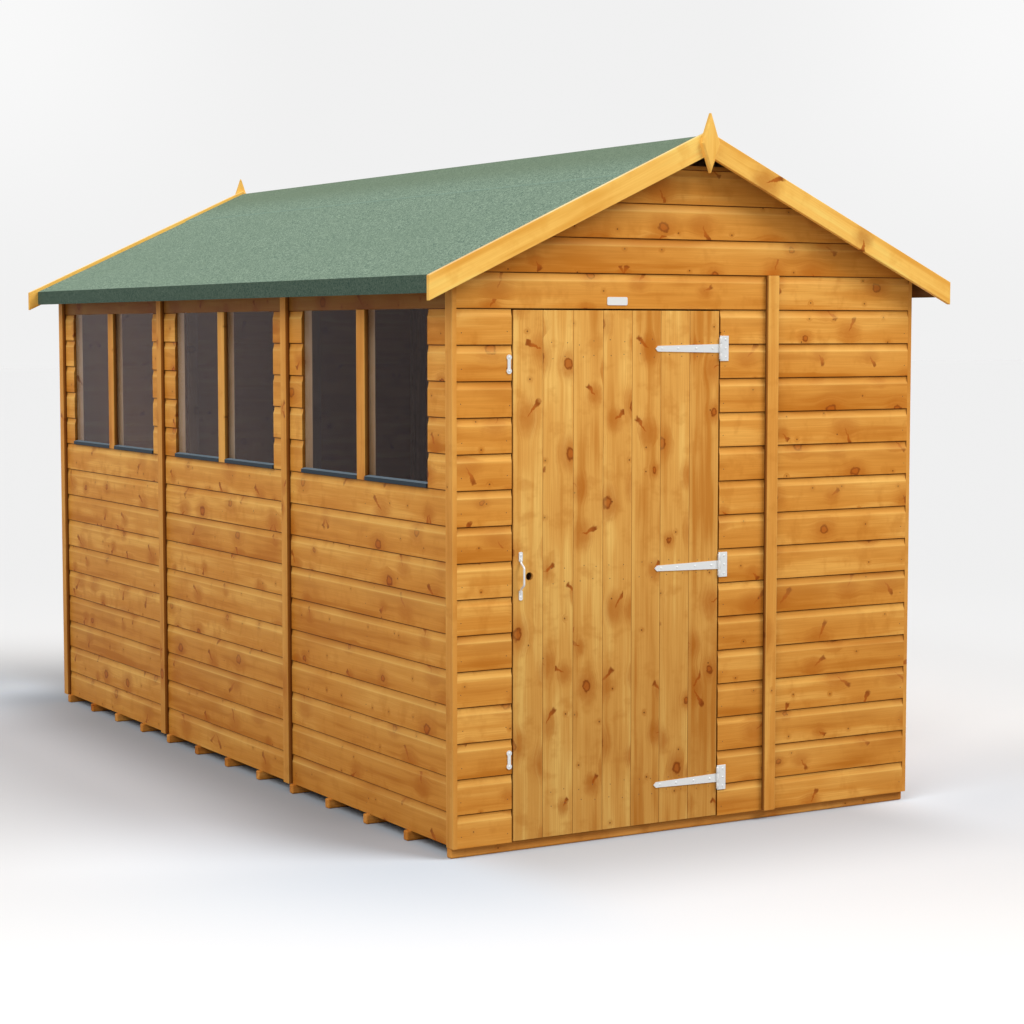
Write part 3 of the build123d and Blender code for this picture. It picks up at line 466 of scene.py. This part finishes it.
def solid(place, front, back, u0, u1, number, cap=0.5):
    """Return one board: vertex = origin + u * along + v * across + w * out.

    front and back are rows of v, w, the share of stain and painted shade and the share of
    painted highlight, with the same v order, and u0 and u1 the two ends, as one number or one
    for each row. Grain coordinates are (u, v, w) moved by the board's number of steps. The two
    end caps have vertices of their own, with painted shade of the value cap or more on the end
    grain. Faces wind so that they point out.
    """
    origin, along, across, out = place
    section = np.vstack((front, back))
    count, rows = len(front), len(section)
    u = np.concatenate([np.tile(np.broadcast_to(end, count), 2) for end in (u0, u1)])
    v, w, stain_and_painted_shade, painted_highlight = np.tile(section, (2, 1)).T
    points = origin + np.outer(u, along) + np.outer(v, across) + np.outer(w, out)
    grain = np.stack((u + GRAIN_STEP[0] * number, v + GRAIN_STEP[1] * number, w), axis=1)
    n = np.arange(count - 1)
    face = np.stack((n, n + rows, n + 1 + rows, n + 1), axis=1)
    first = np.array([[0, count, count + rows, rows]])
    last = np.array([[count - 1, count - 1 + rows, 2 * count - 1 + rows, 2 * count - 1]])
    ends = np.stack((n, n + 1, n + 1 + count, n + count), axis=1) + 2 * rows
    quads = np.vstack((face, face[:, ::-1] + count, first, last, ends, ends[:, ::-1] + rows))
    if np.dot(np.cross(along, across), out) < 0:
        quads = quads[:, ::-1]
    tone = np.full(2 * len(points), chance.random())
    capped = np.concatenate((stain_and_painted_shade, np.maximum(stain_and_painted_shade, cap)))
    return (np.tile(points, (2, 1)), quads, np.tile(grain, (2, 1)), tone, capped,
            np.concatenate((painted_highlight, 0 * painted_highlight)))


def piece(name, body, finish, parts, stands_for=()):
    """Make one object of many solids, and let it stand for CAD nodes."""
    points, quads, grain, tone, stain_and_painted_shade, painted_highlight = zip(*parts)
    steps = np.cumsum([0] + [len(p) for p in points[:-1]])
    mesh = bpy.data.meshes.new(name)
    mesh.from_pydata(np.vstack(points).tolist(), [],
                     np.vstack([q + step for q, step in zip(quads, steps)]).tolist())
    mesh.attributes.new("grain", "FLOAT_VECTOR", "POINT").data.foreach_set(
        "vector", np.vstack(grain).ravel())
    for kept, values in (("board", tone), ("stain_and_painted_shade", stain_and_painted_shade), ("painted_highlight", painted_highlight)):
        mesh.attributes.new(kept, "FLOAT", "POINT").data.foreach_set(
            "value", np.concatenate(values))
    mesh.shade_smooth()
    mesh.set_sharp_from_angle(angle=SHARP)
    mesh.materials.append(finish)
    shown = bpy.data.objects.new(name, mesh)
    scene.collection.objects.link(shown)
    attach(shown, body)
    if stands_for:
        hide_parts(*stands_for)
    return shown


def rear(front, thick, stain_and_painted_shade=0.7):
    """Return the back rows of a board that is flat behind."""
    # Painted shade darkens the back, for the dim inside
    back = np.zeros_like(front)
    back[:, 0], back[:, 1], back[:, 2] = front[:, 0], -thick, stain_and_painted_shade
    return back


def weld(shown):
    """Merge the vertices that lie in one place."""
    shown.modifiers.new("weld", "WELD").merge_threshold = SAME


def spans(name, axis):
    """Return the separate stretches that a node's solids take along an axis."""
    points = corners(name)[:, axis]
    faces = [points[list(p.vertices)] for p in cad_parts[name].data.polygons]
    reaches = {(round(f.min(), 5), round(f.max(), 5)) for f in faces if np.ptp(f) > 10 * SAME}
    found = []
    for a, b in sorted(reaches):
        if found and a <= found[-1][1] + SAME:
            found[-1][1] = max(found[-1][1], b)
        else:
            found.append([a, b])
    return found


# Shiplap

# Section in mm above the joint, with w, the share of stain and painted shade and the share of
# painted highlight. The top falls back in a cove, w = -4.2 * (2 t - t * t), where t runs from
# 0 to 1 up the cove, to the slot under the next board. Painted highlight grows up the face to
# the arris, and the slot under the next board is darkened with stain and painted shade.
cove = np.linspace(0, 1, 8)[1:]
SHIPLAP = np.vstack((
    ((0, -0.8, 0.5, 0), (0.8, 0, 0.15, 0), (3, 0, 0, 0), (45, 0, 0, 0.1), (80, 0, 0, 0.28),
     (84, 0, 0, 0.4), (87, 0, 0, 0.9)),
    np.stack((87 + 22.3 * cove, -4.2 * (2 * cove - cove * cove), 0.12 * cove ** 2,
              0.6 - 0.5 * cove), axis=1),
    ((109.6, -6, 0.9, 0), (112, -6, 0.9, 0)))) * (MM, MM, 1, 1)

# The share of a board by which a height may miss its joint
SLACK = 1e-6

# Painted shade: the eaves hang over the top board of the left wall, so it is painted dark from
# end to end, and the bargeboards stand in front of the gables, whose boards are painted darker
# up to this value
UNDER_EAVES = "left_wall_head"
HEAD_SHADE = 0.66
GABLE_SHADE = 0.62


def shiplap(low, high, shade, extra=()):
    """Return the front and back rows of a shiplap board cut from low to high.

    Its front takes painted shade of the value shade or more, so a high one darkens the whole
    board.
    """
    joint = FIRST_JOINT + math.floor((low - FIRST_JOINT) / COVER + SLACK) * COVER
    heights = np.concatenate(((low, high), joint + SHIPLAP[:, 0], extra))
    heights = np.unique(np.round(heights[(heights >= low) & (heights <= high)], 7))
    columns = [np.interp(heights - joint, SHIPLAP[:, 0], SHIPLAP[:, n]) for n in (1, 2, 3)]
    front = np.stack([heights] + columns, axis=1)
    back = rear(front, THICK)
    front[:, 2] = np.maximum(front[:, 2], shade)
    return front, back


def rows_of(low, high):
    """Return each board row's lowest and highest edge between two heights."""
    first = math.floor((low - FIRST_JOINT) / COVER + SLACK)
    last = math.ceil((high - FIRST_JOINT) / COVER - SLACK)
    joints = FIRST_JOINT + COVER * np.arange(first, last + 1)
    return [(max(a, low), min(b, high)) for a, b in zip(joints[:-1], joints[1:])]


def panel_boards(place, axis, name):
    """Return the boards of a wall node's panels, each from end to end of its panel."""
    low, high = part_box(name)
    # The top board under the eaves takes painted shade
    shade = HEAD_SHADE * (name == UNDER_EAVES)
    return [solid(place, *shiplap(a, b, shade), u0, u1, next(numbers))
            for u0, u1 in spans(name, axis) for a, b in rows_of(low.z, high.z)]


def gable_boards(place, name):
    """Return a gable's boards, their ends cut to the roof slope: half = (under - z) / SLOPE.

    Painted shade, for the bargeboards' shadow, darkens them with the fourth power of their
    height.
    """
    low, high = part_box(name)
    under = high.z + flat_top * SLOPE
    kink = under - high.x * SLOPE
    made = []
    for a, b in rows_of(low.z, high.z):
        shade = GABLE_SHADE * ((a - low.z) / (high.z - low.z)) ** 4
        front, back = shiplap(a, b, shade, extra=(kink,))
        half = np.minimum(high.x, (under - front[:, 0]) / SLOPE)
        made.append(solid(place, front, back, -half, half, next(numbers)))
    return made


def shiplap_piece(name, place, axis, panels, gables=()):
    """Make one wall's shiplap in place of its CAD nodes, its boards along one axis."""
    made = [board for node_name in panels for board in panel_boards(place, axis, node_name)]
    made += [board for node_name in gables for board in gable_boards(place, node_name)]
    piece(name, "shed", finishes["cladding"], made, [*panels, *gables])


front_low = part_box("front_wall_over_door")[0]
back_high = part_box("back_wall_wide_panel")[1]
right_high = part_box("right_wall_panels")[1]
FRONT = (ALONG * front_low.y, ACROSS, UP, -ALONG)
BACK = (ALONG * back_high.y, ACROSS, UP, ALONG)
LEFT = (ACROSS * lower_low.x, ALONG, UP, -ACROSS)
RIGHT = (ACROSS * right_high.x, ALONG, UP, ACROSS)
shiplap_piece("shiplap_front", FRONT, 0,
              ["front_wall_left_of_door", "front_wall_right_of_door", "front_wall_over_door",
               "front_wall_narrow_panel"], ["front_gable"])
shiplap_piece("shiplap_back", BACK, 0, ["back_wall_wide_panel", "back_wall_narrow_panel"],
              ["back_gable"])
shiplap_piece("shiplap_left", LEFT, 1, ["left_wall_lower", "left_wall_piers", "left_wall_head"])
shiplap_piece("shiplap_right", RIGHT, 1, ["right_wall_panels"])


# Trim strips: planed, with soft arrises under painted highlights, and painted shade down their
# sides where they meet the wall

def strip(place, v0, v1, low, high, thick, shaded_first=True, shaded_last=True):
    """Return one upright strip from v0 to v1 whose outer face is w = 0."""
    soft = 1.2 * MM
    v = np.array((v0, v0 + soft, v0 + 2.5 * soft, v1 - 2.5 * soft, v1 - soft, v1))
    w = np.array((-soft, 0, 0, 0, 0, -soft))
    # Painted shade darkens the sides where they meet the wall, and painted highlight the arrises
    stain_and_painted_shade = np.array((0.45 * shaded_first, 0, 0, 0, 0, 0.45 * shaded_last))
    painted_highlight = np.array((0.2, 0.8, 0.1, 0.1, 0.8, 0.2))
    front = np.stack((v, w, stain_and_painted_shade, painted_highlight), axis=1)
    back = rear(front, thick)
    back[0, 2], back[-1, 2] = 1.0 * shaded_first, 1.0 * shaded_last
    return solid(place, front, back, low, high, next(numbers), cap=0.2)


def split_boxes(name):
    """Return a node's separate upright solids as rows of their ends (x0, x1), (y0, y1)."""
    points = corners(name)
    found = []
    for x0, x1 in spans(name, 0):
        here = points[(points[:, 0] > x0 - SAME) & (points[:, 0] < x1 + SAME)]
        edges = np.unique(np.round(here[:, 1], 5))
        found += [((x0, x1), (y0, y1)) for y0, y1 in edges.reshape(-1, 2)]
    return found


STRIP_NODES = ["corner_strips", "cover_strips", "window_mullions"]
strips = []
for name in STRIP_NODES:
    low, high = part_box(name)
    for xs, ys in split_boxes(name):
        on_side = np.ptp(xs) < np.ptp(ys)
        thin, wide = (xs, ys) if on_side else (ys, xs)
        normal, across = (ACROSS, ALONG) if on_side else (ALONG, ACROSS)
        side = -1 if sum(thin) < 0 else 1
        outer = thin[0] if side < 0 else thin[1]
        # The edge of a corner strip that stands out past the end wall takes no painted shade, so
        # it is as pale as its face
        corner = on_side and name == "corner_strips"
        strips.append(strip((normal * outer, UP, across, normal * side), *wide, low.z, high.z,
                            np.ptp(thin), not (corner and wide[0] < 0),
                            not (corner and wide[0] > 0)))
piece("trim_strips", "shed", finishes["trim_strip"], strips, STRIP_NODES)


# Door boards stand upright, with a V groove at each joint and a painted highlight that makes a
# paler band beside it
DOOR_JOINTS = np.array((200.0, 308.3, 420.4, 531.8, 641.4, 751.6, 864.7, 980.0)) * MM
FIRST_DOOR_BOARD = 400
door_low, door_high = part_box("door_boards")
DOOR = (np.array((lower_low.x, front_low.y, 0.0)), UP, ACROSS, -ALONG)


def grooved(v0, v1, thick, chamfer=1.3 * MM, gap=0.1 * MM, band=0.0):
    """Return a tongued board's rows: both face edges are cut away at 45 degrees."""
    v = np.array((v0 + gap, v0 + gap + chamfer, v0 + 11 * MM, v0 + 15 * MM, v1 - 5 * MM,
                  v1 - gap - chamfer, v1 - gap))
    w = np.array((-chamfer, 0, 0, 0, 0, 0, -chamfer))
    # The groove is darker, as a dark joint, and a painted highlight makes the band beside it
    # paler
    stain_and_painted_shade = np.array((0.35, 0, 0, 0, 0, 0, 0.35)) * (band > 0)
    painted_highlight = np.array((0, 1, 0.9, 0, 0, 0.6, 0)) * band
    front = np.stack((v, w, stain_and_painted_shade, painted_highlight), axis=1)
    return front, rear(front, thick, 0.5)


def bore_lock_hole(leaf, board_tone):
    """Drill the lock hole through the first door board, where the CAD's door boards have it.

    Vertices round the hole take the grain and tone of the board that they are cut from.
    """
    rim = corners("door_boards")
    rim = rim[(rim[:, 0] > door_low.x + MM) & (rim[:, 0] < door_high.x - MM)]
    hole = (rim.min(axis=0) + rim.max(axis=0)) / 2
    radius = np.ptp(rim[:, 0]) / 2
    bpy.ops.mesh.primitive_cylinder_add(vertices=48, radius=radius, depth=100 * MM,
                                        location=hole, rotation=(math.radians(90), 0, 0))
    drill = bpy.context.object
    weld(leaf)
    bore = leaf.modifiers.new("bore", "BOOLEAN")
    bore.operation, bore.object, bore.solver = "DIFFERENCE", drill, "EXACT"
    bored = bpy.data.meshes.new_from_object(
        leaf.evaluated_get(bpy.context.evaluated_depsgraph_get()))
    leaf.modifiers.clear()
    leaf.data = bored
    bpy.data.objects.remove(drill)

    points = np.array([v.co for v in bored.vertices])
    grain, tone = np.zeros(3 * len(points)), np.zeros(len(points))
    bored.attributes["grain"].data.foreach_get("vector", grain)
    bored.attributes["board"].data.foreach_get("value", tone)
    grain = grain.reshape(-1, 3)
    cut = np.hypot(points[:, 0] - hole[0], points[:, 2] - hole[2]) < radius + MM
    x, y, z = points[cut].T
    grain[cut] = np.stack((z + GRAIN_STEP[0] * FIRST_DOOR_BOARD,
                           x - lower_low.x + GRAIN_STEP[1] * FIRST_DOOR_BOARD,
                           front_low.y - y), axis=1)
    tone[cut] = board_tone
    bored.attributes["grain"].data.foreach_set("vector", grain.ravel())
    bored.attributes["board"].data.foreach_set("value", tone)
    bored.shade_smooth()
    bored.set_sharp_from_angle(angle=SHARP)


boards = []
for n, (v0, v1) in enumerate(zip(DOOR_JOINTS[:-1], DOOR_JOINTS[1:])):
    front, back = grooved(v0, v1, THICK, band=0.35 + 0.65 * chance.random())
    boards.append(solid(DOOR, front, back, door_low.z, door_high.z, FIRST_DOOR_BOARD + n,
                        cap=0.0))
door_face = piece("door_leaf_boards", "door", finishes["door_timber"], boards,
                  ["door_boards"])
_, _, _, tone, _, _ = boards[0]
bore_lock_hole(door_face, tone[0])

# Floor boards run the length of the shed, on the joists
deck_low, deck_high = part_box("floor_deck")
DECK = (UP * deck_high.z, ALONG, ACROSS, UP)
edges = np.linspace(deck_low.x, deck_high.x, round((deck_high.x - deck_low.x) / COVER) + 1)
boards = []
for v0, v1 in zip(edges[:-1], edges[1:]):
    front, back = grooved(v0, v1, deck_high.z - deck_low.z, chamfer=1.0 * MM)
    boards.append(solid(DECK, front, back, deck_low.y, deck_high.y, next(numbers)))
piece("floor_boards", "shed", finishes["roof_timber"], boards, ["floor_deck"])

# Roof planks run the length of the roof; v is down the slope from the underside of the ridge
PLANK = 12 * MM
for side, hand in ((-1, "left"), (1, "right")):
    name = f"roof_boards_{hand}"
    low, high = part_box(name)
    down = np.array((side * COSINE, 0, -SINE))
    out = np.array((-side * SINE, 0, -COSINE))
    planks = (UP * (high.z - PLANK / COSINE), ALONG, down, out)
    run = max(abs(low.x), abs(high.x)) / COSINE
    joints = np.linspace(0, run, round(run / COVER) + 1)
    boards = []
    for n, (v0, v1) in enumerate(zip(joints[:-1], joints[1:])):
        front, back = grooved(v0, v1, PLANK, chamfer=2.0 * MM)
        back[0, 0] -= PLANK * SLOPE * (n == 0)
        back[-1, 0] -= PLANK * SLOPE * (n == len(joints) - 2)
        boards.append(solid(planks, front, back, low.y, high.y, next(numbers)))
    piece(f"roof_planks_{hand}", "shed", finishes["roof_timber"], boards, [name])


# Nails and screws

NAIL = {"radius": 1.5 * MM, "proud": 0.15 * MM}
DOOR_NAIL = {"radius": 1.6 * MM, "proud": 0.15 * MM}
SCREW = {"radius": 3.6 * MM, "proud": 0.5 * MM, "sides": 16, "dome": 0.9 * MM}


def discs(places, out, radius, proud, sides=10, dome=0.0):
    """Return small round heads that stand off a face.

    Each is four rings, r = radius twice, 0.6 radius and nearly 0, of which the first lies
    in the face, the second stands proud and the last two stand higher by dome.
    """
    out = np.array(out, float)
    first = np.array((out[1], out[2], out[0]))
    second = np.cross(out, first)
    turn = np.linspace(0, 2 * math.pi, sides, endpoint=False)
    circle = np.outer(np.cos(turn), first) + np.outer(np.sin(turn), second)
    profile = ((radius, -0.2 * MM), (radius, proud), (0.6 * radius, proud + dome),
               (0.02 * radius, proud + dome))
    head = np.vstack([circle * r + out * h for r, h in profile])
    n = np.arange(sides)
    after = (n + 1) % sides
    quads = np.vstack([np.stack((n, after, after + sides, n + sides), axis=1) + k * sides
                       for k in range(len(profile) - 1)])
    zeros = np.zeros(len(head))
    return [(head + np.array(place), quads, head + np.array(place), zeros, zeros, zeros)
            for place in places]


def scattered(ups, acrosses, spread):
    """Return every pair of the two lists, each moved by chance by about spread mm."""
    pairs = np.stack(np.meshgrid(acrosses, ups, indexing="ij"), axis=-1).reshape(-1, 2)
    return pairs + chance.normal(0, spread * MM, pairs.shape)


# Nails hold each board to the studs, up to the window heads on the front and the sills on
# the left wall
nail_rows = FIRST_JOINT + COVER * np.arange(BOARDS_BELOW_WINDOW + BOARDS_BESIDE_WINDOW) + 38 * MM
front_x = [x for name in ("front_wall_left_of_door", "front_wall_right_of_door",
                          "front_wall_narrow_panel")
           for x in (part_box(name)[0].x + 16 * MM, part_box(name)[1].x - 16 * MM)]
nails = discs([(x, front_low.y, z) for x, z in scattered(nail_rows, front_x, 3)], -ALONG, **NAIL)
side_y = [y for y0, y1 in spans("left_wall_lower", 1)
          for y in (y0 + 50 * MM, (y0 + y1) / 2, y1 - 45 * MM)]
side_places = scattered(nail_rows[:BOARDS_BELOW_WINDOW], side_y, 3)
nails += discs([(lower_low.x, y, z) for y, z in side_places], -ACROSS, **NAIL)
piece("nail_heads_shed", "shed", finishes["nails"], nails)

# Nails hold the door boards, all but the first, to a ledge behind each hinge
HALF_PLATE = 41 * MM
plate_low, plate_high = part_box("hinge_plates")
HINGE_Z = np.linspace(plate_low.z + HALF_PLATE, plate_high.z - HALF_PLATE, 3)
door_x = [lower_low.x + v0 + share * (v1 - v0)
          for v0, v1 in zip(DOOR_JOINTS[1:-1], DOOR_JOINTS[2:]) for share in (0.28, 0.72)]
rows = [z + step * MM for z in HINGE_Z for step in (-24, 22)]
piece("nail_heads_door", "door", finishes["nails"],
      discs([(x, front_low.y, z) for x, z in scattered(rows, door_x, 4)], -ALONG, **DOOR_NAIL))

# Screws run along each strap, measured from the pin, and stand at the ends of the pull
strap_y = front_low.y - 2.5 * MM
pin_x = plate_low.x + 5 * MM
pull_low, pull_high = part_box("door_pull")
pull_x = (pull_low.x + pull_high.x) / 2
places = [(pin_x - s * MM, strap_y, z) for z in HINGE_Z for s in (30, 95, 165, 228)]
places += [(pull_x, strap_y, z) for z in (pull_low.z + 10 * MM, pull_high.z - 10 * MM)]
piece("screw_heads_door", "door", finishes["galvanised_steel"],
      discs(places, -ALONG, **SCREW))

# Screws run down each wall plate, and stand at the ends of both turn buttons' plates
button_low, button_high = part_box("turn_buttons")
button_x = (button_low.x + button_high.x) / 2
button_y = front_low.y - 3 * MM
places = [(pin_x + 22 * MM, strap_y, z + s * MM) for z in HINGE_Z for s in (-29, 0, 29)]
places += [(button_x, button_y, end + s * MM) for end, steps in (
    (button_low.z, (9, 51)), (button_high.z, (-9, -51))) for s in steps]
piece("screw_heads_wall", "shed", finishes["galvanised_steel"],
      discs(places, -ALONG, **SCREW))


# Finishes on the CAD nodes
NODE_FINISH = {
    "finial": ["finials"],
    "trim_left": ["bargeboards_left"],
    "trim_right": ["bargeboards_right"],
    "frame_upright": ["front_wall_posts", "back_wall_posts", "right_wall_posts"],
    "stud": ["left_wall_posts"],
    "frame_crosswise": ["front_wall_rails", "back_wall_rails", "rafters", "roof_ties",
                        "door_ledges", "door_braces"],
    "frame_lengthwise": ["left_wall_rails", "right_wall_rails", "ridge_beam", "purlins",
                         "eaves_rails", "eaves_fascias"],
    "base_timber": ["floor_joists"],
    "mineral_felt": ["roof_felt_left", "roof_felt_right", "ridge_felt"],
    "window_sheet": ["window_glass"],
    "sill_strip": ["window_sills"],
    "galvanised_steel": ["hinge_straps", "hinge_plates", "door_pull", "turn_buttons"],
    "blank_plate": ["name_plate"],
}
# Widths in mm of the rounding that the finish gives the edges
SOFT_EDGES = {"trim_left": 1.5, "trim_right": 1.5, "frame_upright": 1.5,
              "frame_crosswise": 1.5, "base_timber": 5.0, "galvanised_steel": 0.5}
for finish, names in NODE_FINISH.items():
    for name in names:
        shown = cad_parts[name]
        shown.data.materials.clear()
        shown.data.materials.append(finishes[finish])
        if finish in SOFT_EDGES:
            weld(shown)
            soft = shown.modifiers.new("soft_edges", "BEVEL")
            soft.width = SOFT_EDGES[finish] * MM
            soft.segments = 2
            soft.limit_method, soft.angle_limit = "ANGLE", math.radians(35)


# Camera: its place in metres, how many degrees it looks down and turns right, and its lens
EYE = (-4.2770, -7.9107, 1.6367)
LOOKS_DOWN, TURNS_RIGHT, LENS = 4.522, 30.35, 80.47
camera = bpy.data.objects.new("camera", bpy.data.cameras.new("camera"))
scene.collection.objects.link(camera)
camera.location = EYE
camera.rotation_euler = (math.radians(90 - LOOKS_DOWN), 0.0, math.radians(-TURNS_RIGHT))
camera.data.sensor_width = 36.0
camera.data.lens = LENS
camera.data.clip_end = 300.0
scene.camera = camera


# Light and studio

def sun(name, towards, strength, spread):
    """Add distant light that comes from a direction, with soft shadows."""
    light = bpy.data.lights.new(name, "SUN")
    light.energy, light.angle = strength, math.radians(spread)
    made = bpy.data.objects.new(name, light)
    scene.collection.objects.link(made)
    made.rotation_mode = "QUATERNION"
    made.rotation_quaternion = Vector(towards).to_track_quat("Z", "Y")


KEY = (0.62, -0.66, 0.88)
FILL = (-0.80, -0.35, 0.85)
sun("key_front_right", KEY, 2.4, 34)
sun("fill_left", FILL, 1.45, 40)


def seen_by_eye(add):
    """Return 1 for rays that show the background: camera, mirror and glass rays."""
    ray = add("LightPath").outputs
    mirrored = add("Math", ray["Is Glossy Ray"], ray["Is Transmission Ray"], operation="MAXIMUM")
    return add("Math", ray["Is Camera Ray"], mirrored, operation="MAXIMUM")


def studio_sky():
    """Light the scene from all round, most from the left, before a plain grey background.

    The background is paler in its two upper corners: sideways is the part of a direction
    that goes to the right of the photo's view, or to the left of it.
    """
    to_right = (0.863, -0.505)
    grey, paler = (0.878, 0.878, 0.878, 1), (0.945, 0.945, 0.945, 1)
    scene.world = bpy.data.worlds.new("studio")
    add = blank(scene.world)
    way = add("SeparateXYZ", add("TexCoord").outputs["Generated"]).outputs
    sideways = add("Math", add("Math", way["X"], to_right[0], operation="MULTIPLY"),
                   add("Math", way["Y"], to_right[1], operation="MULTIPLY"), operation="ADD")
    sideways = add("Math", sideways, operation="ABSOLUTE")
    corner = add("Math", add("MapRange", sideways, 0.08, 0.22, **SMOOTH),
                 add("MapRange", way["Z"], 0.0, 0.13, **SMOOTH), operation="MULTIPLY")
    seen = add("Mix", corner, grey, paler, data_type="RGBA")
    side_light = add("MapRange", way["X"], -1.0, 0.7, 0.52, 0.20)
    lit = add("Mix", seen_by_eye(add), side_light, seen, data_type="RGBA")
    add("OutputWorld", add("Background", lit, 1.0))


def painted_floor_light_and_shade(add, place, gap, beside):
    """Return the factor by which the floor is darker or paler near the shed.

    gap is how far a point lies from the shed in metres, and beside is 1 to its left. Painted
    shadow darkens the floor at the foot of the front and beside the left wall. Behind the
    right-hand corner painted light makes it paler in the fill's own shadow, whose edge runs
    along a slanted line: there y - slant * x is what it is at the shed's front right corner.
    """
    slant = FILL[1] / FILL[0]
    x, y, _ = add("SeparateXYZ", place).outputs
    right = add("MapRange", x, right_high.x - 0.3, right_high.x + 0.1, **SMOOTH)
    line = add("VectorMath", place, (-slant, 1.0, 0.0), operation="DOT_PRODUCT")
    turn = front_low.y - slant * right_high.x
    shadow = add("MapRange", line, turn - 0.3, turn + 0.5, 0.97, 1.41, **SMOOTH)
    behind = add("Mix", add("MapRange", gap, 0.0, 2.8, **SMOOTH), shadow, 1.0)
    front = add("Mix", right, add("MapRange", gap, 0.0, 0.85, 0.68, 1.0, **SMOOTH), behind)

    left = add("Math", add("MapRange", gap, 0.0, 0.55, 0.60, 1.17, **SMOOTH),
               add("MapRange", gap, 0.75, 1.5, 1.0, 0.86, **SMOOTH), operation="MULTIPLY")
    far_end = add("MapRange", y, 1.1, 1.9, 1.0, 1.25, **SMOOTH)
    left = add("Math", left, add("MapRange", gap, 0.3, 1.0, far_end, 1.0, **SMOOTH),
               operation="MULTIPLY")
    left = add("Mix", add("MapRange", y, -1.75, -0.9, **SMOOTH),
               add("MapRange", gap, 0.0, 1.0, 0.90, 1.0, **SMOOTH), left)
    return add("Mix", beside, front, left)


def floor_finish():
    """Return the pale matt floor, with the tones that the shed's soft shadow has in a studio.

    The gap from the shed is the length of max(abs(place) - half the shed's size, 0), and painted
    shadow and painted light near the shed give the floor these tones. A painted cool cast round
    the shed takes back the warm light that the boards throw on the floor.
    """
    material, add = start("studio_floor")
    place = add("TexCoord").outputs["Object"]
    beyond = add("VectorMath", add("VectorMath", place, operation="ABSOLUTE"),
                 (right_high.x, back_high.y, 9.0), operation="SUBTRACT")
    gap = add("VectorMath", add("VectorMath", beyond, (0, 0, 0), operation="MAXIMUM"),
              operation="LENGTH")
    x = add("SeparateXYZ", place).outputs["X"]
    beside = add("MapRange", x, lower_low.x - 0.10, lower_low.x + 0.25, 1.0, 0.0, **SMOOTH)

    far = add("VectorMath", place, (EYE[0], EYE[1], 0.0), operation="DISTANCE")
    pale = add("MapRange", far, 5.2, 7.4, 0.90, 0.77, **SMOOTH)
    # Painted shadow and painted light near the shed scale the floor's tone
    for share in (add("MapRange", far, 10.0, 16.0, 1.0, 0.95, **SMOOTH),
                  painted_floor_light_and_shade(add, place, gap, beside)):
        pale = add("Math", pale, share, operation="MULTIPLY")

    cool = coats(add, colour("#F4F9FF"), [(beside, "#ECF5FF"),
                                          (add("MapRange", gap, 0.0, 1.6, **SMOOTH), "#FFFFFF")])
    seen = add("VectorMath", cool, pale, operation="SCALE")
    shown = add("Mix", seen_by_eye(add), (0.45, 0.45, 0.45, 1), seen, data_type="RGBA")
    add("OutputMaterial", add("BsdfDiffuse", {"Color": shown}))
    return material


studio_sky()
half, level = 90.0, -0.4 * MM
mesh = bpy.data.meshes.new("studio_floor")
mesh.from_pydata([(-half, -half, level), (half, -half, level), (half, half, level),
                  (-half, half, level)], [], [(0, 1, 2, 3)])
mesh.materials.append(floor_finish())
ground = bpy.data.objects.new("studio_floor", mesh)
scene.collection.objects.link(ground)

scene.view_settings.view_transform = "Standard"
